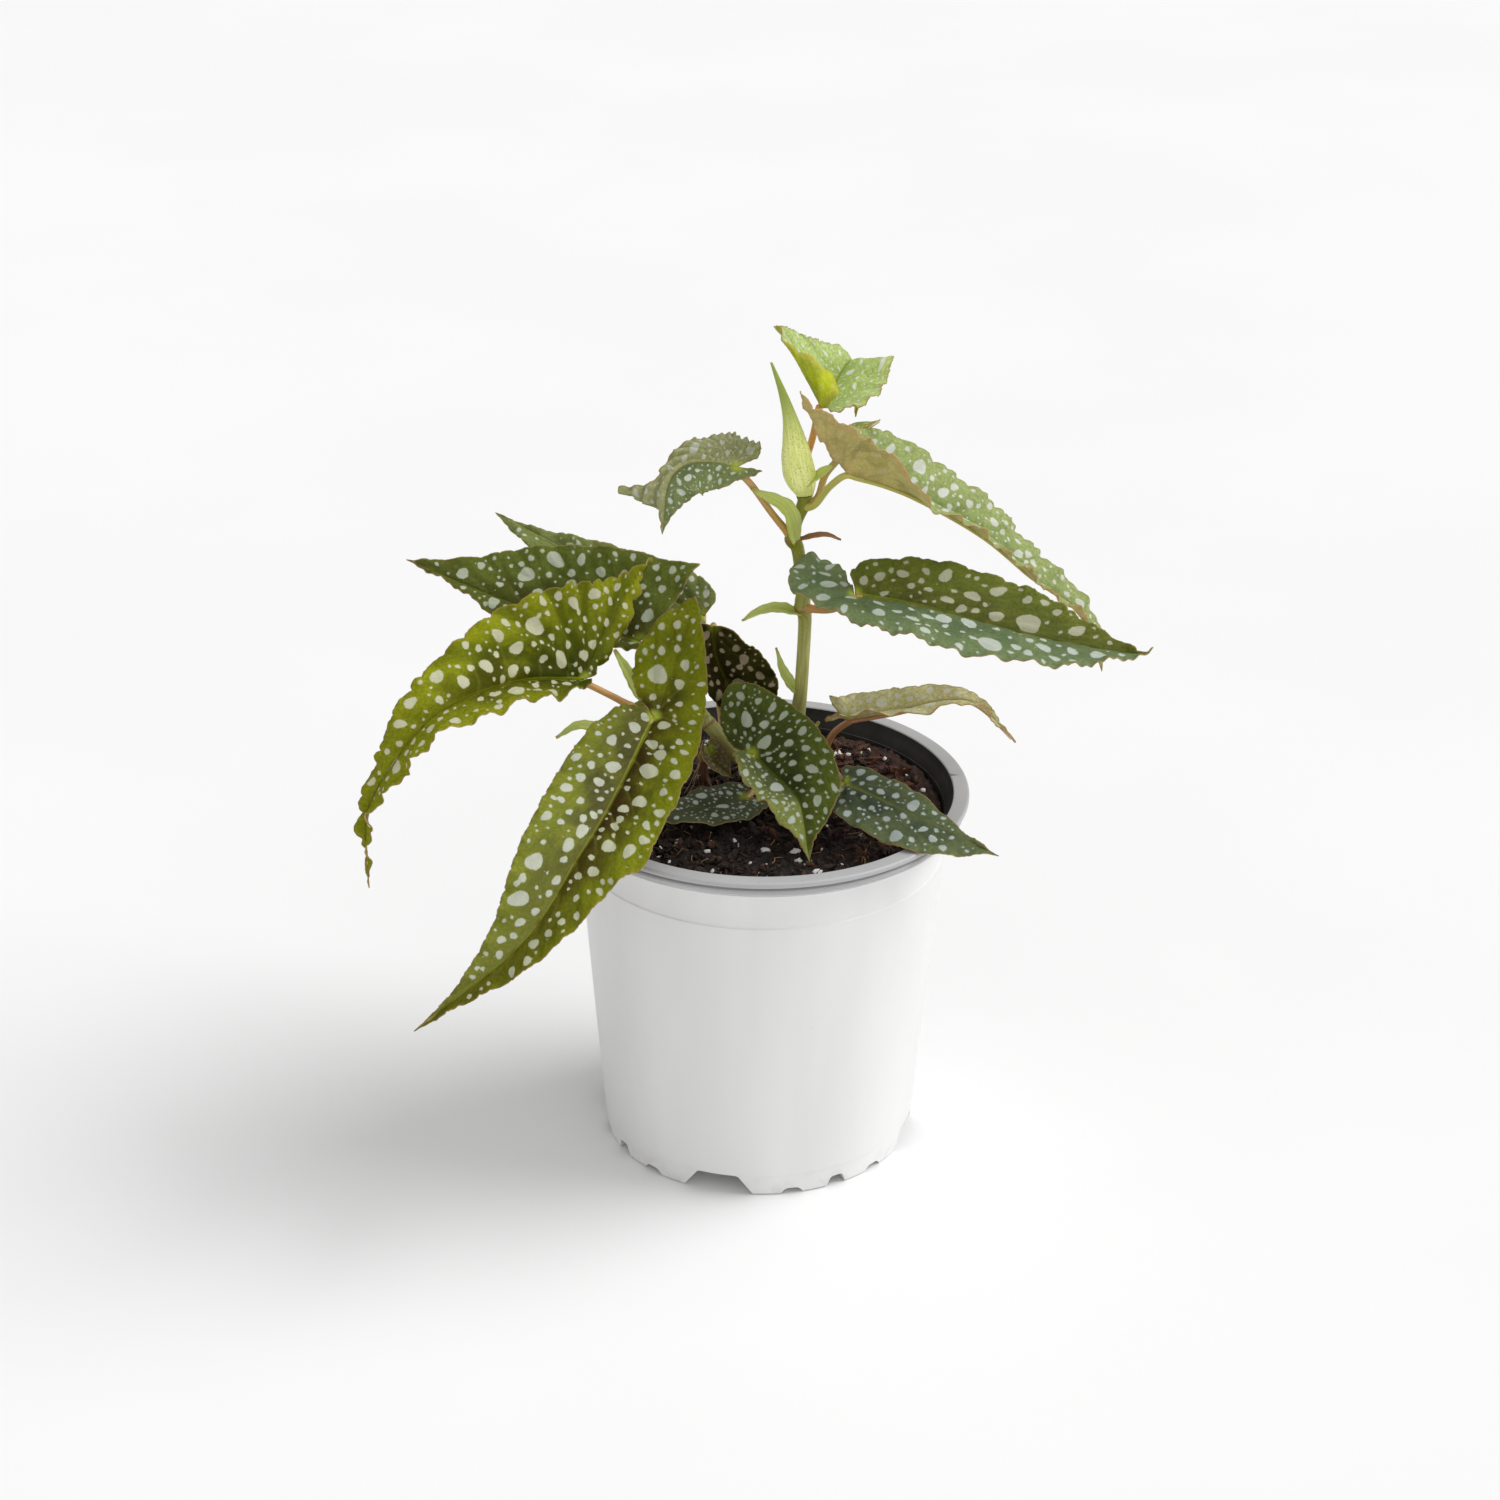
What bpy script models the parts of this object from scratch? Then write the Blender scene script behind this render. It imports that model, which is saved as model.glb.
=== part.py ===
"""A cane begonia in a plastic nursery pot: leaves, canes, sheath, potting mix and pot, each its own solid.

The origin is on the pot's axis at the plane that it stands on. +Z is up, and -Y is the plant's front.
Lengths in the tables are millimetres, and MM turns them into Blender's metres.
"""
import math

import bmesh
import bpy
import numpy as np
from mathutils import Vector, geometry, noise

MM = 0.001
GAP = 0.3

# Pot: turned wall, rolled rim, and radial channels under the floor that show as notches at its foot.
POT_STEPS = 60
WALL = 1.3
FOOT_R = 61.0
SHOULDER_R = 70.7
SHOULDER_Z = 122.5
RIM_R = 80.0
POT_H = 147.0
RIM_INNER_R = 73.8
CHANNEL_START = 34.0
CHANNEL_END = 66.0
DRAIN_R = 3.2
DRAIN_AT = 48.0
# Channel kinds: (width at the bottom, width at the top, height, angles in degrees)
QUARTERS = (0, 90, 180, 270)
WIDE_CHANNEL = (28.0, 16.0, 8.4, [q - 15 for q in QUARTERS])
ROUND_CHANNEL = (8.6, 5.0, 4.4, [q + 30 for q in QUARTERS])
LOW_CHANNEL = (9.4, 5.0, 2.5, [q + 30 + s for q in QUARTERS for s in (-17.5, 17.5)])

# Potting mix
SOIL_TOP = 137.0
SOIL_BOTTOM = WIDE_CHANNEL[2] + WALL + GAP
SOIL_SECTORS = 36
SOIL_RINGS = (9, 19, 29, 39, 48, 56, 62, 66)
HOLE_DEPTH = 17.0
PERLITE_GRAINS = 26
CRUMBS = 14

# Canes: points of the centre line with the radius there, foot first. A swelling marks each joint.
MAIN_CANE = [(12, 24, 121, 3.0), (12, 24, 138, 3.0), (13, 23, 152, 3.0), (14, 22, 168, 2.9),
             (15, 21, 180, 2.6), (16, 20, 207, 2.6), (15, 19, 214, 3.2), (15, 18, 222, 2.7),
             (13, 17, 238, 2.5), (11, 17, 243, 3.1), (12, 16, 250, 2.4), (15, 16, 258, 2.7),
             (15, 16, 261, 3.0)]
LEFT_CANE = [(1, 16, 121, 2.7), (1, 16, 141, 2.8), (-4, 15, 148, 2.7), (-10, 14, 153, 2.7),
             (-21, 16, 166, 2.9), (-28, 19, 173, 2.4), (-38, 17, 176, 2.7), (-48, 12, 174, 2.4),
             (-58, 6, 170, 2.0), (-64, 3, 168, 1.4)]
RIGHT_CANE = [(20, 31, 121, 2.0), (20, 31, 142, 2.1), (20.5, 30.5, 145, 2.2), (21, 30, 148, 1.5)]
DEAD_STUB = [(-22, 18, 121, 2.3), (-22, 18, 137, 2.6), (-23, 17, 143, 2.2), (-23, 17, 150, 1.9),
             (-24, 17, 157, 1.3)]


# Leaf form

def half(lobe, cross, wide, fold, curl=(0,), pitch=0, belly=0.45, tip=0.35, end=0.1, sharp=0,
         horn=(0, 1, 0)):
    """One side of a blade. lobe is how far it reaches (back, out) behind the junction, cross how far it
    passes the midrib's own line there, wide is (distance along the midrib, width) at the widest place.
    fold and curl are degrees from the leaf's plane, in even steps from junction to tip, and pitch is
    how far the lobe turns up. belly, tip and end shape the margin, sharp makes the lobe pointed, and
    horn is a long tooth: its place along the midrib, half its breadth, and its reach."""
    return dict(lobe=lobe, cross=cross, wide=wide, fold=fold, curl=curl, pitch=pitch, belly=belly,
                tip=tip, end=end, sharp=sharp, horn=horn)


def bezier(points, t):
    p = np.asarray(points, float)
    t = np.asarray(t, float)[:, None]
    return (1 - t) ** 3 * p[0] + 3 * (1 - t) ** 2 * t * p[1] + 3 * (1 - t) * t * t * p[2] + t ** 3 * p[3]


def smooth_line(points, per_span=12):
    """Points of a Catmull-Rom curve through the given points."""
    p = np.asarray(points, float)
    ends = np.vstack([2 * p[0] - p[1], p, 2 * p[-1] - p[-2]])
    t = np.linspace(0, 1, per_span, endpoint=False)[:, None]
    spans = []
    for a, b, c, d in zip(ends, ends[1:], ends[2:], ends[3:]):
        spans.append(0.5 * (2 * b + (c - a) * t + (2 * a - 5 * b + 4 * c - d) * t ** 2
                            + (3 * b - a - 3 * c + d) * t ** 3))
    return np.vstack(spans + [p[-1:]])


def unit(v):
    return v / np.maximum(np.linalg.norm(v, axis=-1, keepdims=True), 1e-12)


class Blade:
    """Maps a flat leaf, x along the midrib and y out to one side, onto its bent and folded place."""

    TURN = 25.0

    def __init__(self, midrib, facing, halves):
        self.line = smooth_line(midrib, 30)
        steps = np.linalg.norm(np.diff(self.line, axis=0), axis=1)
        self.along = np.concatenate([[0], np.cumsum(steps)])
        self.length = self.along[-1]
        self.tangent = unit(np.gradient(self.line, axis=0))
        self.facing = unit(np.array(facing, float))
        self.halves = halves

    def frame(self, x, pitch):
        """Centre, forward and face direction at x. Behind the junction they follow the lobe's turn."""
        centre = np.stack([np.interp(x, self.along, c) for c in self.line.T], -1)
        forward = unit(np.stack([np.interp(x, self.along, c) for c in self.tangent.T], -1))
        w = np.clip(x / self.length, 0, 1)[:, None]
        face = (1 - w) * self.facing[0] + w * self.facing[1]
        face = unit(face - (face * forward).sum(-1, keepdims=True) * forward)
        back = x < 0
        if back.any():
            f0 = forward[back]
            n0 = face[back]
            reach = -x[back]
            full = math.radians(pitch)
            moved = np.zeros((back.sum(), 3))
            for step in (np.arange(16) + 0.5) / 16:
                a = (full * (1 - np.exp(-reach * step / self.TURN)))[:, None]
                moved += (np.sin(a) * n0 - np.cos(a) * f0) * (reach / 16)[:, None]
            a = (full * (1 - np.exp(-reach / self.TURN)))[:, None]
            centre[back] = self.line[0] + moved
            forward[back] = np.cos(a) * f0 - np.sin(a) * n0
            face[back] = np.sin(a) * f0 + np.cos(a) * n0
        return centre, forward, face

    def margin(self, side, lobe_t, blade_t):
        """Margin points round the lobe and on to the tip."""
        h = self.halves[side]
        b, c = h["lobe"]
        xw, w = h["wide"]
        run = self.length - xw
        corner = np.array([-b, c])
        into = (1 - h["sharp"]) * np.array([-b, c - 0.25 * w - 0.5 * h["cross"]])
        into += h["sharp"] * 0.7 * corner
        leave = np.array([-b, c + 0.55 * (w - c)]) * (1 - h["sharp"])
        leave += h["sharp"] * (corner + 0.35 * (np.array([xw, w]) - corner))
        first = bezier([(0, 0), (-0.35 * b, -h["cross"]), into, corner], np.minimum(lobe_t * 2, 1))
        second = bezier([corner, leave, (xw - 0.5 * (xw + b), w), (xw, w)], np.maximum(lobe_t * 2 - 1, 0))
        round_lobe = np.where((lobe_t <= 0.5)[:, None], first, second)
        handle = (self.length - h["tip"] * run, h["end"] * w)
        forward = bezier([(xw, w), (xw + h["belly"] * run, w), handle, (self.length, 0)], blade_t)
        at, breadth, reach = h["horn"]
        forward[:, 1] += reach * np.exp(-((forward[:, 0] - at) / breadth) ** 2)
        return np.vstack([round_lobe, forward[1:]])

    def place(self, x, y, side, lift=0.0):
        """Places of flat points (x, y) on one side, raised from the surface by lift."""
        h = self.halves[side]
        centre, forward, face = self.frame(x, h["pitch"])
        out = np.cross(face, forward) * (1 if side == 0 else -1)
        w = np.clip(x / self.length, 0, 1)
        fold = np.radians(np.interp(w, np.linspace(0, 1, len(h["fold"])), h["fold"]))
        curl = np.radians(np.interp(w, np.linspace(0, 1, len(h["curl"])), h["curl"]))
        bend = curl / h["wide"][1]
        bend = np.where(np.abs(bend) < 1e-6, 1e-6, bend)
        angle = fold + bend * y
        sideways = (np.sin(angle) - np.sin(fold)) / bend - lift * np.sin(angle)
        upwards = (np.cos(fold) - np.cos(angle)) / bend + lift * np.cos(angle)
        return centre + out * sideways[:, None] + face * upwards[:, None]


# Leaves: midrib places from junction to tip, the way the upper face looks at each end, the two halves
# (the left one first, seen from above with the tip ahead), the petiole's path, the cane that bears it,
# the spacing of the margin's points and the height of the blade's ripples.
LEAVES = {
    "leaf_front_left": dict(
        midrib=[(-41, -12, 182), (-55, -50, 166), (-67, -76, 155), (-87, -96, 130), (-126, -108, 100)],
        facing=[(0, -0.65, 0.75), (0, -0.75, 0.6)],
        halves=[half((53, -3), 30, (36, 23), (10, 5), pitch=30, belly=0.2, tip=0.4, end=0.32, sharp=0.5,
                     horn=(66, 8, 4)),
                half((2, 6), -4, (46, 23), (15, 5), (-10, 0), belly=0.6)],
        petiole=[(-40, 16, 176), (-41, 4, 177)], cane="left_cane", gap=3.2, wave=1.3),
    "leaf_left": dict(
        midrib=[(-68, 8, 188), (-93, -10, 195), (-120, -30, 192), (-137, -38, 175), (-148, -42, 154),
                (-148, -45, 125)],
        facing=[(0.1, -0.6, 0.8), (-0.6, -0.5, 0.3)],
        halves=[half((1, 1), -1, (44, 15), (30, 15)),
                half((37, 46), -2, (0, 37), (25, 10), sharp=0.7, belly=0.15, tip=0.5, end=0.05)],
        petiole=[(-49, 11, 174), (-57, 11, 179)], cane="left_cane", gap=3.2, wave=1.5),
    "leaf_back_left": dict(
        midrib=[(-48, 35, 192), (-95, 50, 200), (-140, 60, 215)],
        facing=[(0.1, -0.6, 0.8), (0, -0.6, 0.7)],
        halves=[half((3, 3), -2, (30, 11), (20, 0)),
                half((13, 36), -2, (4, 34), (20, 0), sharp=0.7, belly=0.6, tip=0.3, end=0.25)],
        petiole=[(-30, 19, 174), (-38, 28, 180)], cane="left_cane", gap=3.2, wave=1.2),
    "leaf_far_left": dict(
        midrib=[(-23, 55, 194), (-65, 74, 207), (-107, 90, 223)],
        facing=[(0.1, -0.6, 0.8), (0, -0.6, 0.7)],
        halves=[half((4, 6), -3, (40, 13), (10, 0), tip=0.25, end=0.4),
                half((1, 7), -2, (14, 14), (20, 0))],
        petiole=[(-25, 18, 170), (-26, 38, 179)], cane="left_cane", gap=3.2, wave=1.0),
    "leaf_behind_centre": dict(
        midrib=[(-19, 34, 199), (-18, 32, 187), (-11, 29, 172), (1, 26, 152)],
        facing=[(0.1, -0.9, 0.3), (0, -0.9, 0.4)],
        halves=[half((0, 2), -4, (30, 18), (5, 0)), half((2, 5), -2, (14, 10), (20, 0))],
        petiole=[(-15, 15, 159), (-16, 27, 164), (-19, 39, 180)], cane="left_cane", gap=3.0, wave=1.0),
    "leaf_centre": dict(
        midrib=[(-4, -5, 163), (4, -14, 159), (11, -22, 156), (15, -32, 153), (18, -50, 140)],
        facing=[(0, -0.7, 0.7), (0, -0.8, 0.5)],
        halves=[half((28, 13), 8, (8, 25), (10, 5), pitch=10, belly=0.5),
                half((2, 7), -4, (22, 16), (50, 30, 20), belly=0.5)],
        petiole=[(0, 16, 144), (0, 8, 150)], cane="left_cane", gap=3.0, wave=0.9),
    "leaf_low": dict(
        midrib=[(-6, 0, 142), (-24, -14, 144), (-46, -26, 145)],
        facing=[(0, -0.2, 1), (0, -0.2, 1)],
        halves=[half((6, 6), -2, (12, 14), (5, 0)), half((6, 6), -2, (12, 11), (5, 0))],
        petiole=[(1, 16, 141), (-2, 8, 142)], cane="left_cane", gap=3.4, wave=0.6),
    "leaf_withered": dict(
        midrib=[(-21, 9, 158.5), (-17, 7, 152), (-11, 6, 147)],
        facing=[(0, -0.6, 0.8), (0, -0.6, 0.8)],
        halves=[half((3, 3), -1, (6, 7), (30, 30)), half((3, 3), -1, (6, 7), (50, 50))],
        petiole=[(-23, 17, 150), (-23, 13, 154)], cane="dead_stub", gap=2.4, wave=0.5),
    "leaf_over_rim": dict(
        midrib=[(31, -17, 157.5), (58, -41, 155.5), (88, -57, 147.5)],
        facing=[(0.1, -0.6, 0.8), (0.2, -0.6, 0.8)],
        halves=[half((5, 6), -2, (16, 11), (-5, -5)),
                half((8, 10), -2, (28, 16), (0,), belly=0.65, tip=0.2)],
        petiole=[(20.3, 30.7, 143), (22, 26, 144.5), (27, 10, 150)], cane="right_shoot", gap=3.2, wave=0.8),
    "leaf_curled": dict(
        midrib=[(33, 25, 164), (52, 24, 168), (72, 22, 174), (84, 21, 172), (99, 20, 157)],
        facing=[(0, -0.2, 1), (0.3, -0.2, 1)],
        halves=[half((9, 9), -2, (14, 9), (45, 40), (20,), pitch=90, sharp=0.7, belly=0.35),
                half((8, 8), -2, (10, 13), (45, 20, 20), pitch=20)],
        petiole=[(20.5, 30.5, 144.5), (24.5, 29.5, 147.5), (28, 28, 156)], cane="right_shoot",
        gap=3.2, wave=1.0),
    "leaf_right": dict(
        midrib=[(34, -5, 230), (55, -9, 228), (77, -13, 224), (105, -19, 219), (138, -25, 216),
                (144, -26, 219)],
        facing=[(0, -0.2, 1), (0, -0.2, 1)],
        halves=[half((3, 8), -6, (40, 20), (35, 20), belly=0.6, tip=0.25),
                half((26, -3), 26, (40, 22), (0, 5), pitch=14, belly=0.75, tip=0.2)],
        petiole=[(15, 19, 213.5), (26, 10, 217)], cane="main_cane", gap=3.2, wave=1.1),
    "leaf_upper_right": dict(
        midrib=[(30, 0, 277), (53, 6, 267), (82, 14, 247), (103, 19, 227), (122, 24, 210), (132, 28, 184)],
        facing=[(0.35, -0.2, 0.9), (0.5, -0.2, 0.8)],
        halves=[half((6, 13), -4, (14, 19), (45, 25, 35), belly=0, tip=0.15, end=0.5),
                half((46, 5), -8, (-2, 20), (75, 28, 26, 26, 26, 26), pitch=62, belly=0.3, sharp=0.8)],
        petiole=[(15, 16, 256.5), (19, 12, 259), (24, 7, 268)], cane="main_cane", gap=3.2, wave=1.2),
    "leaf_top": dict(
        midrib=[(21, 14, 297), (23, 24, 297), (27, 34, 301), (32, 43, 305), (35, 51, 297), (35, 55, 278)],
        facing=[(0.75, -0.3, 0.6), (0.5, 0.4, 0.75)],
        halves=[half((24, 6), 0, (12, 34), (8, 0), pitch=380, belly=0.15, tip=0.7, end=0.05, sharp=0.8,
                     horn=(38, 10, -7)),
                half((8, 6), -3, (20, 19), (60, 50, 30), pitch=100, belly=0.5)],
        petiole=[(15, 16, 256), (14.5, 21, 259.5), (15, 25, 269), (18, 23, 282)], cane="main_cane",
        gap=3.0, wave=0.9),
    "leaf_upper_left": dict(
        midrib=[(-10, 12, 274), (-21, 11, 276), (-30, 7, 276), (-36, 2, 270), (-38, -4, 253)],
        facing=[(0.3, -0.3, 0.95), (-0.5, -0.6, 0.4)],
        halves=[half((9, 1), -1, (24, 13), (-25, -10), sharp=0.7),
                half((9, 12), -2, (-2, 18), (0, 8, -5), (0, 0, -50), belly=0.1, tip=0.5, end=0.15,
                     horn=(36, 3, 19))],
        petiole=[(11, 17, 243), (3, 15, 254), (-5, 14, 266)], cane="main_cane", gap=3.0, wave=1.0),
    "leaf_bud": dict(
        midrib=[(29, 17, 278.5), (34, 21, 283.5), (43, 24, 288.5)],
        facing=[(0, -0.3, 0.9), (0, -0.3, 0.9)],
        halves=[half((2, 3), -1, (6, 5), (60,)), half((2, 3), -1, (6, 5), (60,))],
        petiole=[(15, 16, 256.5), (20, 18, 259.5), (23, 20, 268)], cane="main_cane", gap=2.2, wave=0.3),
}
BLADE_THICKNESS = 0.7
PETIOLE_R = 1.35

# Stipules and dry bracts: root, middle and tip, width, and the way the hollow face looks.
STIPULES = {
    "main_cane": [((12, 14, 243), (8, 11, 258), (-5, 12, 265), 8, (0.5, -0.6, 0.3)),
                  ((14, 18, 212), (3, 13, 216), (-8, 8, 213), 6, (0, -0.4, 0.9)),
                  ((13, 20, 178), (8, 18, 187), (5, 16, 198), 5, (0.8, -0.6, 0)),
                  ((13, 16, 243), (22, 14, 246), (29, 14, 244), 3, (0, -0.3, 0.9))],
    "left_cane": [((-45, 14, 175.5), (-51, 18, 185), (-57, 20, 195), 6, (0.5, -0.8, 0)),
                  ((-62, 4, 169), (-70, 2, 171), (-79, 0, 167), 5, (0, -0.4, 0.9)),
                  ((-22, 15, 167), (-23, 13, 172), (-24, 13, 178), 4, (0.5, -0.8, 0))],
    "right_shoot": [((20.5, 30, 146), (19, 27, 154), (22, 24, 163), 4, (-0.5, -0.8, 0))],
    "growing_tip_sheath": [((14, 13, 265), (20, 11, 271), (26, 9, 276), 6, (-0.6, -0.3, 0.6))],
}
SHEATH = [(15, 16, 261.3, 2.5), (15, 16, 262.5, 3.3), (13.5, 13, 269, 5.2), (12, 12, 277, 5.0),
          (11, 12, 284, 4.0), (9, 12, 294, 2.4), (6, 12, 304, 1.3), (2, 12, 315, 0.4)]
CANES = {"main_cane": MAIN_CANE, "left_cane": LEFT_CANE, "right_shoot": RIGHT_CANE, "dead_stub": DEAD_STUB}


# Scene helpers

def clear_scene():
    for obj in list(bpy.data.objects):
        bpy.data.objects.remove(obj, do_unlink=True)


def collection(name):
    made = bpy.data.collections.new(name)
    bpy.context.scene.collection.children.link(made)
    return made


def material(name, colour, roughness, metallic=0.0):
    made = bpy.data.materials.new(name)
    made.use_nodes = True
    shader = made.node_tree.nodes["Principled BSDF"]
    shader.inputs["Base Color"].default_value = (*colour, 1)
    shader.inputs["Roughness"].default_value = roughness
    shader.inputs["Metallic"].default_value = metallic
    return made


def link(name, mesh, home):
    obj = bpy.data.objects.new(name, mesh)
    home.objects.link(obj)
    return obj


def realise(obj, home, weld=1e-6):
    """Turns a curve, or a mesh with modifiers, into a plain welded mesh object of the same name."""
    bpy.context.view_layer.update()
    graph = bpy.context.evaluated_depsgraph_get()
    mesh = bpy.data.meshes.new_from_object(obj.evaluated_get(graph))
    mesh.transform(obj.matrix_world)
    name = obj.name
    bpy.data.objects.remove(obj, do_unlink=True)
    shape = bmesh.new()
    shape.from_mesh(mesh)
    bmesh.ops.remove_doubles(shape, verts=shape.verts, dist=weld)
    bmesh.ops.dissolve_degenerate(shape, edges=shape.edges, dist=weld)
    bmesh.ops.recalc_face_normals(shape, faces=shape.faces)
    shape.to_mesh(mesh)
    shape.free()
    return link(name, mesh, home)


def combine(obj, others, operation, home):
    """Joins others to the object, or cuts them from it, with one Boolean on a collection of them."""
    group = bpy.data.collections.new(obj.name + "_" + operation.lower())
    bpy.context.scene.collection.children.link(group)
    for other in others:
        for old in list(other.users_collection):
            old.objects.unlink(other)
        group.objects.link(other)
    boolean = obj.modifiers.new(operation.title(), "BOOLEAN")
    boolean.operation = operation
    boolean.operand_type = "COLLECTION"
    boolean.collection = group
    made = realise(obj, home)
    for other in others:
        bpy.data.objects.remove(other, do_unlink=True)
    bpy.data.collections.remove(group)
    return made


def tube(name, points, home, resolution=2, grow=0.0):
    """A round stem through (x, y, z, radius) points, as a closed mesh."""
    curve = bpy.data.curves.new(name, "CURVE")
    curve.dimensions = "3D"
    curve.bevel_depth = MM
    curve.bevel_resolution = resolution
    curve.use_fill_caps = True
    spline = curve.splines.new("POLY")
    spline.points.add(len(points) - 1)
    for target, (x, y, z, radius) in zip(spline.points, points):
        target.co = (x * MM, y * MM, z * MM, 1)
        target.radius = radius + grow
    return realise(link(name, curve, home), home)


def turned(name, profile, steps, home):
    """Turns an (r, z) profile about the pot's axis. It runs down the outer side, top to bottom."""
    mesh = bpy.data.meshes.new(name)
    edges = [(i, i + 1) for i in range(len(profile) - 1)]
    mesh.from_pydata([(r * MM, 0, z * MM) for r, z in profile], edges, [])
    obj = link(name, mesh, home)
    screw = obj.modifiers.new("Turn", "SCREW")
    screw.steps = steps
    screw.render_steps = steps
    screw.use_merge_vertices = True
    screw.merge_threshold = 1e-5
    return realise(obj, home)


def finish(obj, look, smooth_angle=40):
    obj.data.materials.clear()
    obj.data.materials.append(look)
    obj.data.shade_smooth()
    obj.data.set_sharp_from_angle(angle=math.radians(smooth_angle))
    return obj


# Pot

def wall_r(z):
    """Outer radius of the pot's wall at a height."""
    if z <= SHOULDER_Z:
        return FOOT_R + (SHOULDER_R - FOOT_R) * z / SHOULDER_Z
    return SHOULDER_R - 0.5 + 0.08 * (z - SHOULDER_Z)


def outer_profile():
    collar = POT_H - 9.5
    return [(0, POT_H), (79.2, POT_H), (RIM_R, POT_H - 1.0), (RIM_R, POT_H - 2.8), (79.2, POT_H - 3.6),
            (77.2, POT_H - 4.2), (77.7, POT_H - 5.2), (76.9, POT_H - 7.2), (wall_r(collar), collar),
            (wall_r(SHOULDER_Z + 0.6), SHOULDER_Z + 0.6), (SHOULDER_R, SHOULDER_Z), (FOOT_R, 0), (0, 0)]


def inner_profile():
    levels = (POT_H - 9.5, SHOULDER_Z, WALL)
    sides = [(wall_r(z) - WALL, z) for z in levels]
    return [(0, POT_H + 1), (RIM_INNER_R, POT_H + 1), (RIM_INNER_R, POT_H - 0.8)] + sides + [(0, WALL)]


def channel(name, kind, angle, grow, home):
    """A radial trough under the floor, wider at the bottom. grow enlarges it all round by the wall."""
    bottom, top, height, _ = kind
    start = CHANNEL_START - grow
    section = [(-bottom / 2 - grow, -1), (bottom / 2 + grow, -1), (bottom / 2 + grow, 0),
               (top / 2 + grow, height + grow), (-top / 2 - grow, height + grow), (-bottom / 2 - grow, 0)]
    shape = bmesh.new()
    face = shape.faces.new([shape.verts.new((start * MM, y * MM, z * MM)) for y, z in section])
    pushed = bmesh.ops.extrude_face_region(shape, geom=[face])["geom"]
    ends = [v for v in pushed if isinstance(v, bmesh.types.BMVert)]
    bmesh.ops.translate(shape, verts=ends, vec=((CHANNEL_END - start) * MM, 0, 0))
    bmesh.ops.recalc_face_normals(shape, faces=shape.faces)
    mesh = bpy.data.meshes.new(name)
    shape.to_mesh(mesh)
    shape.free()
    obj = link(name, mesh, home)
    obj.rotation_euler.z = math.radians(angle)
    return obj


def channels(grow, home):
    made = []
    for kind in (WIDE_CHANNEL, ROUND_CHANNEL, LOW_CHANNEL):
        for angle in kind[3]:
            made.append(channel("channel", kind, angle, grow, home))
    return made


def drain(angle, home):
    shape = bmesh.new()
    bmesh.ops.create_cone(shape, cap_ends=True, segments=16, radius1=DRAIN_R * MM, radius2=DRAIN_R * MM,
                          depth=20 * MM)
    a = math.radians(angle)
    bmesh.ops.translate(shape, verts=shape.verts,
                        vec=(DRAIN_AT * math.cos(a) * MM, DRAIN_AT * math.sin(a) * MM, 0))
    mesh = bpy.data.meshes.new("drain")
    shape.to_mesh(mesh)
    shape.free()
    return link("drain", mesh, home)


def make_pot(home, cutters):
    inside = turned("pot_inside", inner_profile(), POT_STEPS, cutters)
    inside = combine(inside, channels(WALL, cutters), "DIFFERENCE", cutters)
    pot = turned("pot", outer_profile(), POT_STEPS, home)
    drains = [drain(angle, cutters) for angle in WIDE_CHANNEL[3]]
    pot = combine(pot, [inside], "DIFFERENCE", home)
    pot = combine(pot, channels(0, cutters), "DIFFERENCE", home)
    pot = combine(pot, drains, "DIFFERENCE", home)
    return finish(pot, material("pot_plastic", (0.84, 0.84, 0.83), 0.5))


# Potting mix

def soil_height(x, y):
    """Height of the mix: a gentle slope to the right and back, with clods and crumbs."""
    clods = 1.5 * noise.noise(Vector((x / 15, y / 15, 0.3)))
    clods += 0.9 * noise.noise(Vector((x / 6, y / 6, 4.1)))
    return SOIL_TOP + 0.035 * x + 0.02 * y + clods


def grain(x, y, radius, squash, turn, home):
    shape = bmesh.new()
    bmesh.ops.create_icosphere(shape, subdivisions=1, radius=radius * MM)
    bmesh.ops.scale(shape, verts=shape.verts, vec=(1, squash, 0.8))
    mesh = bpy.data.meshes.new("grain")
    shape.to_mesh(mesh)
    shape.free()
    obj = link("grain", mesh, home)
    obj.location = (x * MM, y * MM, (soil_height(x, y) + 0.1) * MM)
    obj.rotation_euler = (turn, 0.6 * turn, 2 * turn)
    return obj


def grains(home):
    """Perlite and peat crumbs, sunk halfway into the mix, clear of the canes and of each other."""
    draw = np.random.default_rng(5)
    feet = [np.array(points[0][:2]) for points in CANES.values()]
    placed = []
    made = []
    while len(made) < PERLITE_GRAINS + CRUMBS:
        r = 64 * math.sqrt(draw.random())
        a = draw.random() * 2 * math.pi
        size = draw.uniform(0.9, 1.7) if len(made) < PERLITE_GRAINS else draw.uniform(1.4, 2.6)
        spot = np.array((r * math.cos(a), r * math.sin(a)))
        near_foot = min(np.linalg.norm(spot - foot) for foot in feet) < 7
        near_other = any(np.linalg.norm(spot - other) < size + other_size + 0.4
                         for other, other_size in placed)
        if near_foot or near_other:
            continue
        placed.append((spot, size))
        made.append(grain(spot[0], spot[1], size, draw.uniform(0.7, 1), draw.uniform(0, 3), home))
    return made


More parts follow.
